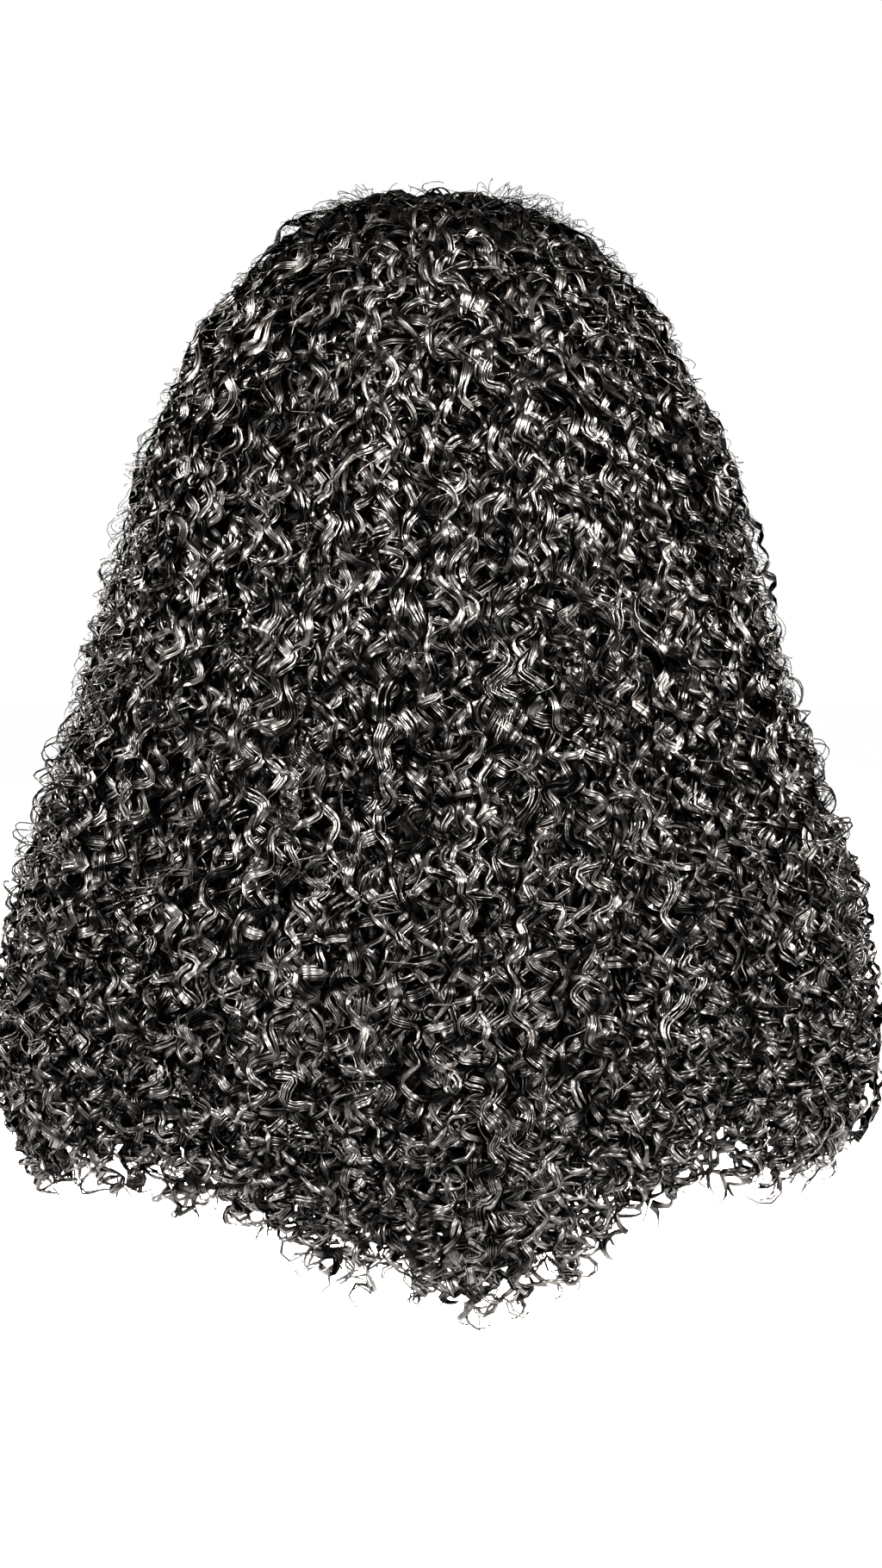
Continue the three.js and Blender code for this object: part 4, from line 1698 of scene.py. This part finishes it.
@dataclass
class NetCap:
    """The stretch net cap with its elastic edge band: millimetres on the head, and cut sizes in metres."""

    head: Head
    net_rim: float = math.radians(70.0)
    net_lift: float = 1.9
    net_wall: float = 1.7
    net_grid: tuple[int, int] = (96, 28)
    net_cut: Limits = (0.22, 0.262)
    net_area: float = 0.0386
    band_gap: float = 0.006
    band_rim: float = math.radians(76.0)
    band_lift: float = 1.4
    band_bulge: float = 0.5
    band_wall: float = 2.2
    band_grid: tuple[int, int] = (240, 8)
    band_cut: Limits = (0.0103, 0.571)

    @staticmethod
    def _grid(columns: int, rows: int) -> tuple[Array, Array]:
        """Angles round the pole and shares from edge to edge, at the points of a grid."""
        around = np.linspace(0.0, FULL_TURN, columns + 1)[:, None]
        return np.broadcast_arrays(around, np.linspace(0.0, 1.0, rows + 1)[None, :])

    def net(self, material: Material) -> None:
        """Makes the net as a smooth wall.

        Args:
            material: The net's material.
        """
        around, share = self._grid(*self.net_grid)
        face = self.head.point(around, self.net_rim * share, np.full(around.shape, self.net_lift))
        wall = SheetWall("net_cap", face, self.net_wall * MM)
        maps = np.stack((around / FULL_TURN, share), axis=-1)
        piece = dress(wall.build(maps), material, "cap_net", "wig_cap")

    def band(self, material: Material) -> None:
        """Makes the band, gathered a little along its length.

        Args:
            material: The band's material.
        """
        around, share = self._grid(*self.band_grid)
        top = self.net_rim + self.band_gap
        from_pole = top + (self.band_rim - top) * share
        gather = 0.22 * np.sin(around * 60.0) + 0.12 * np.sin(around * 37.0 + 1.0)
        lift = self.band_lift + gather + self.band_bulge * np.sin(share * math.pi)
        wall = SheetWall("elastic_band", self.head.point(around, from_pole, lift), self.band_wall * MM)
        maps = np.stack((around / FULL_TURN, share), axis=-1)
        piece = dress(wall.build(maps), material, "elastic_band", "edge_band")


@dataclass
class Combs:
    """The four combs inside the rim: their solids with softened edges."""

    names: tuple[str, ...] = ("comb_front", "comb_left", "comb_right", "comb_nape")
    edge: float = 0.35 * MM
    edge_segments: int = 2
    edge_angle: float = math.radians(40.0)

    def dress(self, nodes: dict[str, Piece], material: Material) -> None:
        """Gives each comb its plastic and round edges.

        Args:
            nodes: The frame's solids by name.
            material: The combs' plastic.
        """
        for name in self.names:
            piece = nodes[name]
            piece.data.materials.clear()
            piece.data.materials.append(material)
            bevel = piece.modifiers.new("soft_edges", "BEVEL")
            bevel.width = self.edge
            bevel.segments = self.edge_segments
            bevel.limit_method = "ANGLE"
            bevel.angle_limit = self.edge_angle
            LOG.info("%s: edges softened", name)


@dataclass(frozen=True)
class Lamp:
    """A square soft light: its place and size in metres, its power in watts and its spread in degrees."""

    name: str
    place: tuple[float, float, float]
    size: float
    power: float
    spread: float


LAMPS = (
    Lamp("key", (-0.1, -1.75, 0.95), 1.0, 150.0, 28.0),
    Lamp("left", (-1.65, -0.8, 0.55), 0.8, 174.0, 28.0),
    Lamp("right", (1.65, -0.8, 0.55), 0.8, 236.0, 28.0),
    Lamp("front", (-0.9, 1.6, -0.3), 0.8, 14.0, 34.0),
    Lamp("ceiling", (0.0, -1.15, 1.65), 1.0, 48.0, 30.0),
)


@dataclass
class Studio:
    """The floor, the lights, the backdrop and the camera, which frames the photograph's picture in pixels."""

    picture: tuple[int, int] = (1024, 1820)
    pixel: float = 0.42 * MM
    crown_pixel: tuple[float, float] = (505.0, 222.0)
    crown_height: float = 26.0 * MM
    elevation: float = math.radians(3.0)
    distance: float = 2.0
    sensor: float = 36.0
    clip: Limits = (0.05, 50.0)
    floor_size: float = 9.0
    floor_gap: float = 10.0 * MM
    backdrop_strength: float = 1.0
    light_colour: Colour = (1.0, 0.94, 0.88)
    light_aim: tuple[float, float, float] = (0.0, -0.08, 0.02)

    def floor(self, lowest: float, material: Material) -> None:
        """Lays a wide pale floor under the tips.

        Args:
            lowest: The height of the lowest tip.
            material: The floor's material.
        """
        mesh = bmesh.new()
        bmesh.ops.create_grid(mesh, x_segments=8, y_segments=8, size=self.floor_size)
        bmesh.ops.translate(mesh, verts=mesh.verts, vec=(0.0, 0.0, lowest - self.floor_gap))
        data = bpy.data.meshes.new("floor")
        mesh.to_mesh(data)
        mesh.free()
        data.materials.append(material)
        made = linked("floor", data)
        made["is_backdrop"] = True

    def backdrop(self) -> None:
        """An even white surrounding."""
        world = bpy.data.worlds.new("white_studio")
        tree = ShaderTree(world, "BACKGROUND")
        tree.surface(Color=(1.0, 1.0, 1.0, 1.0), Strength=self.backdrop_strength)
        bpy.context.scene.world = world

    def light(self, lamp: Lamp) -> None:
        """Sets a lamp so that it faces the hair.

        Args:
            lamp: Its place, size and power.
        """
        data = bpy.data.lights.new(lamp.name, "AREA")
        data.shape = "SQUARE"
        data.size = lamp.size
        data.energy = lamp.power
        data.spread = math.radians(lamp.spread)
        data.color = self.light_colour
        made = linked(lamp.name, data)
        made.location = lamp.place
        aim = Vector(self.light_aim) - Vector(lamp.place)
        made.rotation_euler = aim.to_track_quat("-Z", "Y").to_euler()

    def camera(self) -> None:
        """The camera at the photograph's angle and framing."""
        width, height = self.picture
        x = (width / 2.0 - self.crown_pixel[0]) * self.pixel
        z = self.crown_height - (height / 2.0 - self.crown_pixel[1]) * self.pixel
        lens = bpy.data.cameras.new("camera")
        lens.sensor_width = self.sensor
        lens.lens = self.sensor * self.distance / (height * self.pixel)
        lens.clip_start, lens.clip_end = self.clip
        made = linked("camera", lens)
        way = Vector((0.0, -math.cos(self.elevation), math.sin(self.elevation)))
        made.location = Vector((x, 0.0, z)) + way * self.distance
        made.rotation_euler = (math.pi / 2.0 - self.elevation, 0.0, 0.0)
        bpy.context.scene.camera = made


def main() -> None:
    """Builds the looks in order: hair, cap, combs, then the studio."""
    logging.basicConfig(level=logging.INFO, format="%(name)s: %(message)s")
    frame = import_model()
    rng = np.random.default_rng(SEED)
    head = Head()
    form = HairForm(head, FaceOpening())
    layers = WeftLayers(form)

    hair = HairFinish("curled_hair").make()
    dense = UnderhairFinish("dense_underhair").make()
    ribbons = RibbonFinish("waved_locks").make()
    crown = CrownHair(form, rng)
    crown.build("crown_locks", crown.ribbon_plans(), ribbons)
    crown.build("crown_curls", crown.curl_plans(), hair)
    InnerHair(form, layers, rng).build(ribbons)
    Flyaways(form, rng).build(hair)
    underhair = Underhair(form, layers)
    for row in range(len(ROWS)):
        underhair.build(row, dense)

    cap = NetCap(head)
    cap.net(NetFinish("stretch_net").make())
    cap.band(ElasticFinish("woven_elastic").make())
    Combs().dress(frame["nodes"], CombFinish("comb_plastic").make())

    studio = Studio()
    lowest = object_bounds()[0].z
    studio.floor(lowest, FloorFinish("pale_floor").make())
    studio.backdrop()
    for lamp in LAMPS:
        studio.light(lamp)
    studio.camera()
    bpy.context.scene.view_settings.view_transform = "Standard"


if __name__ == "__main__":
    main()
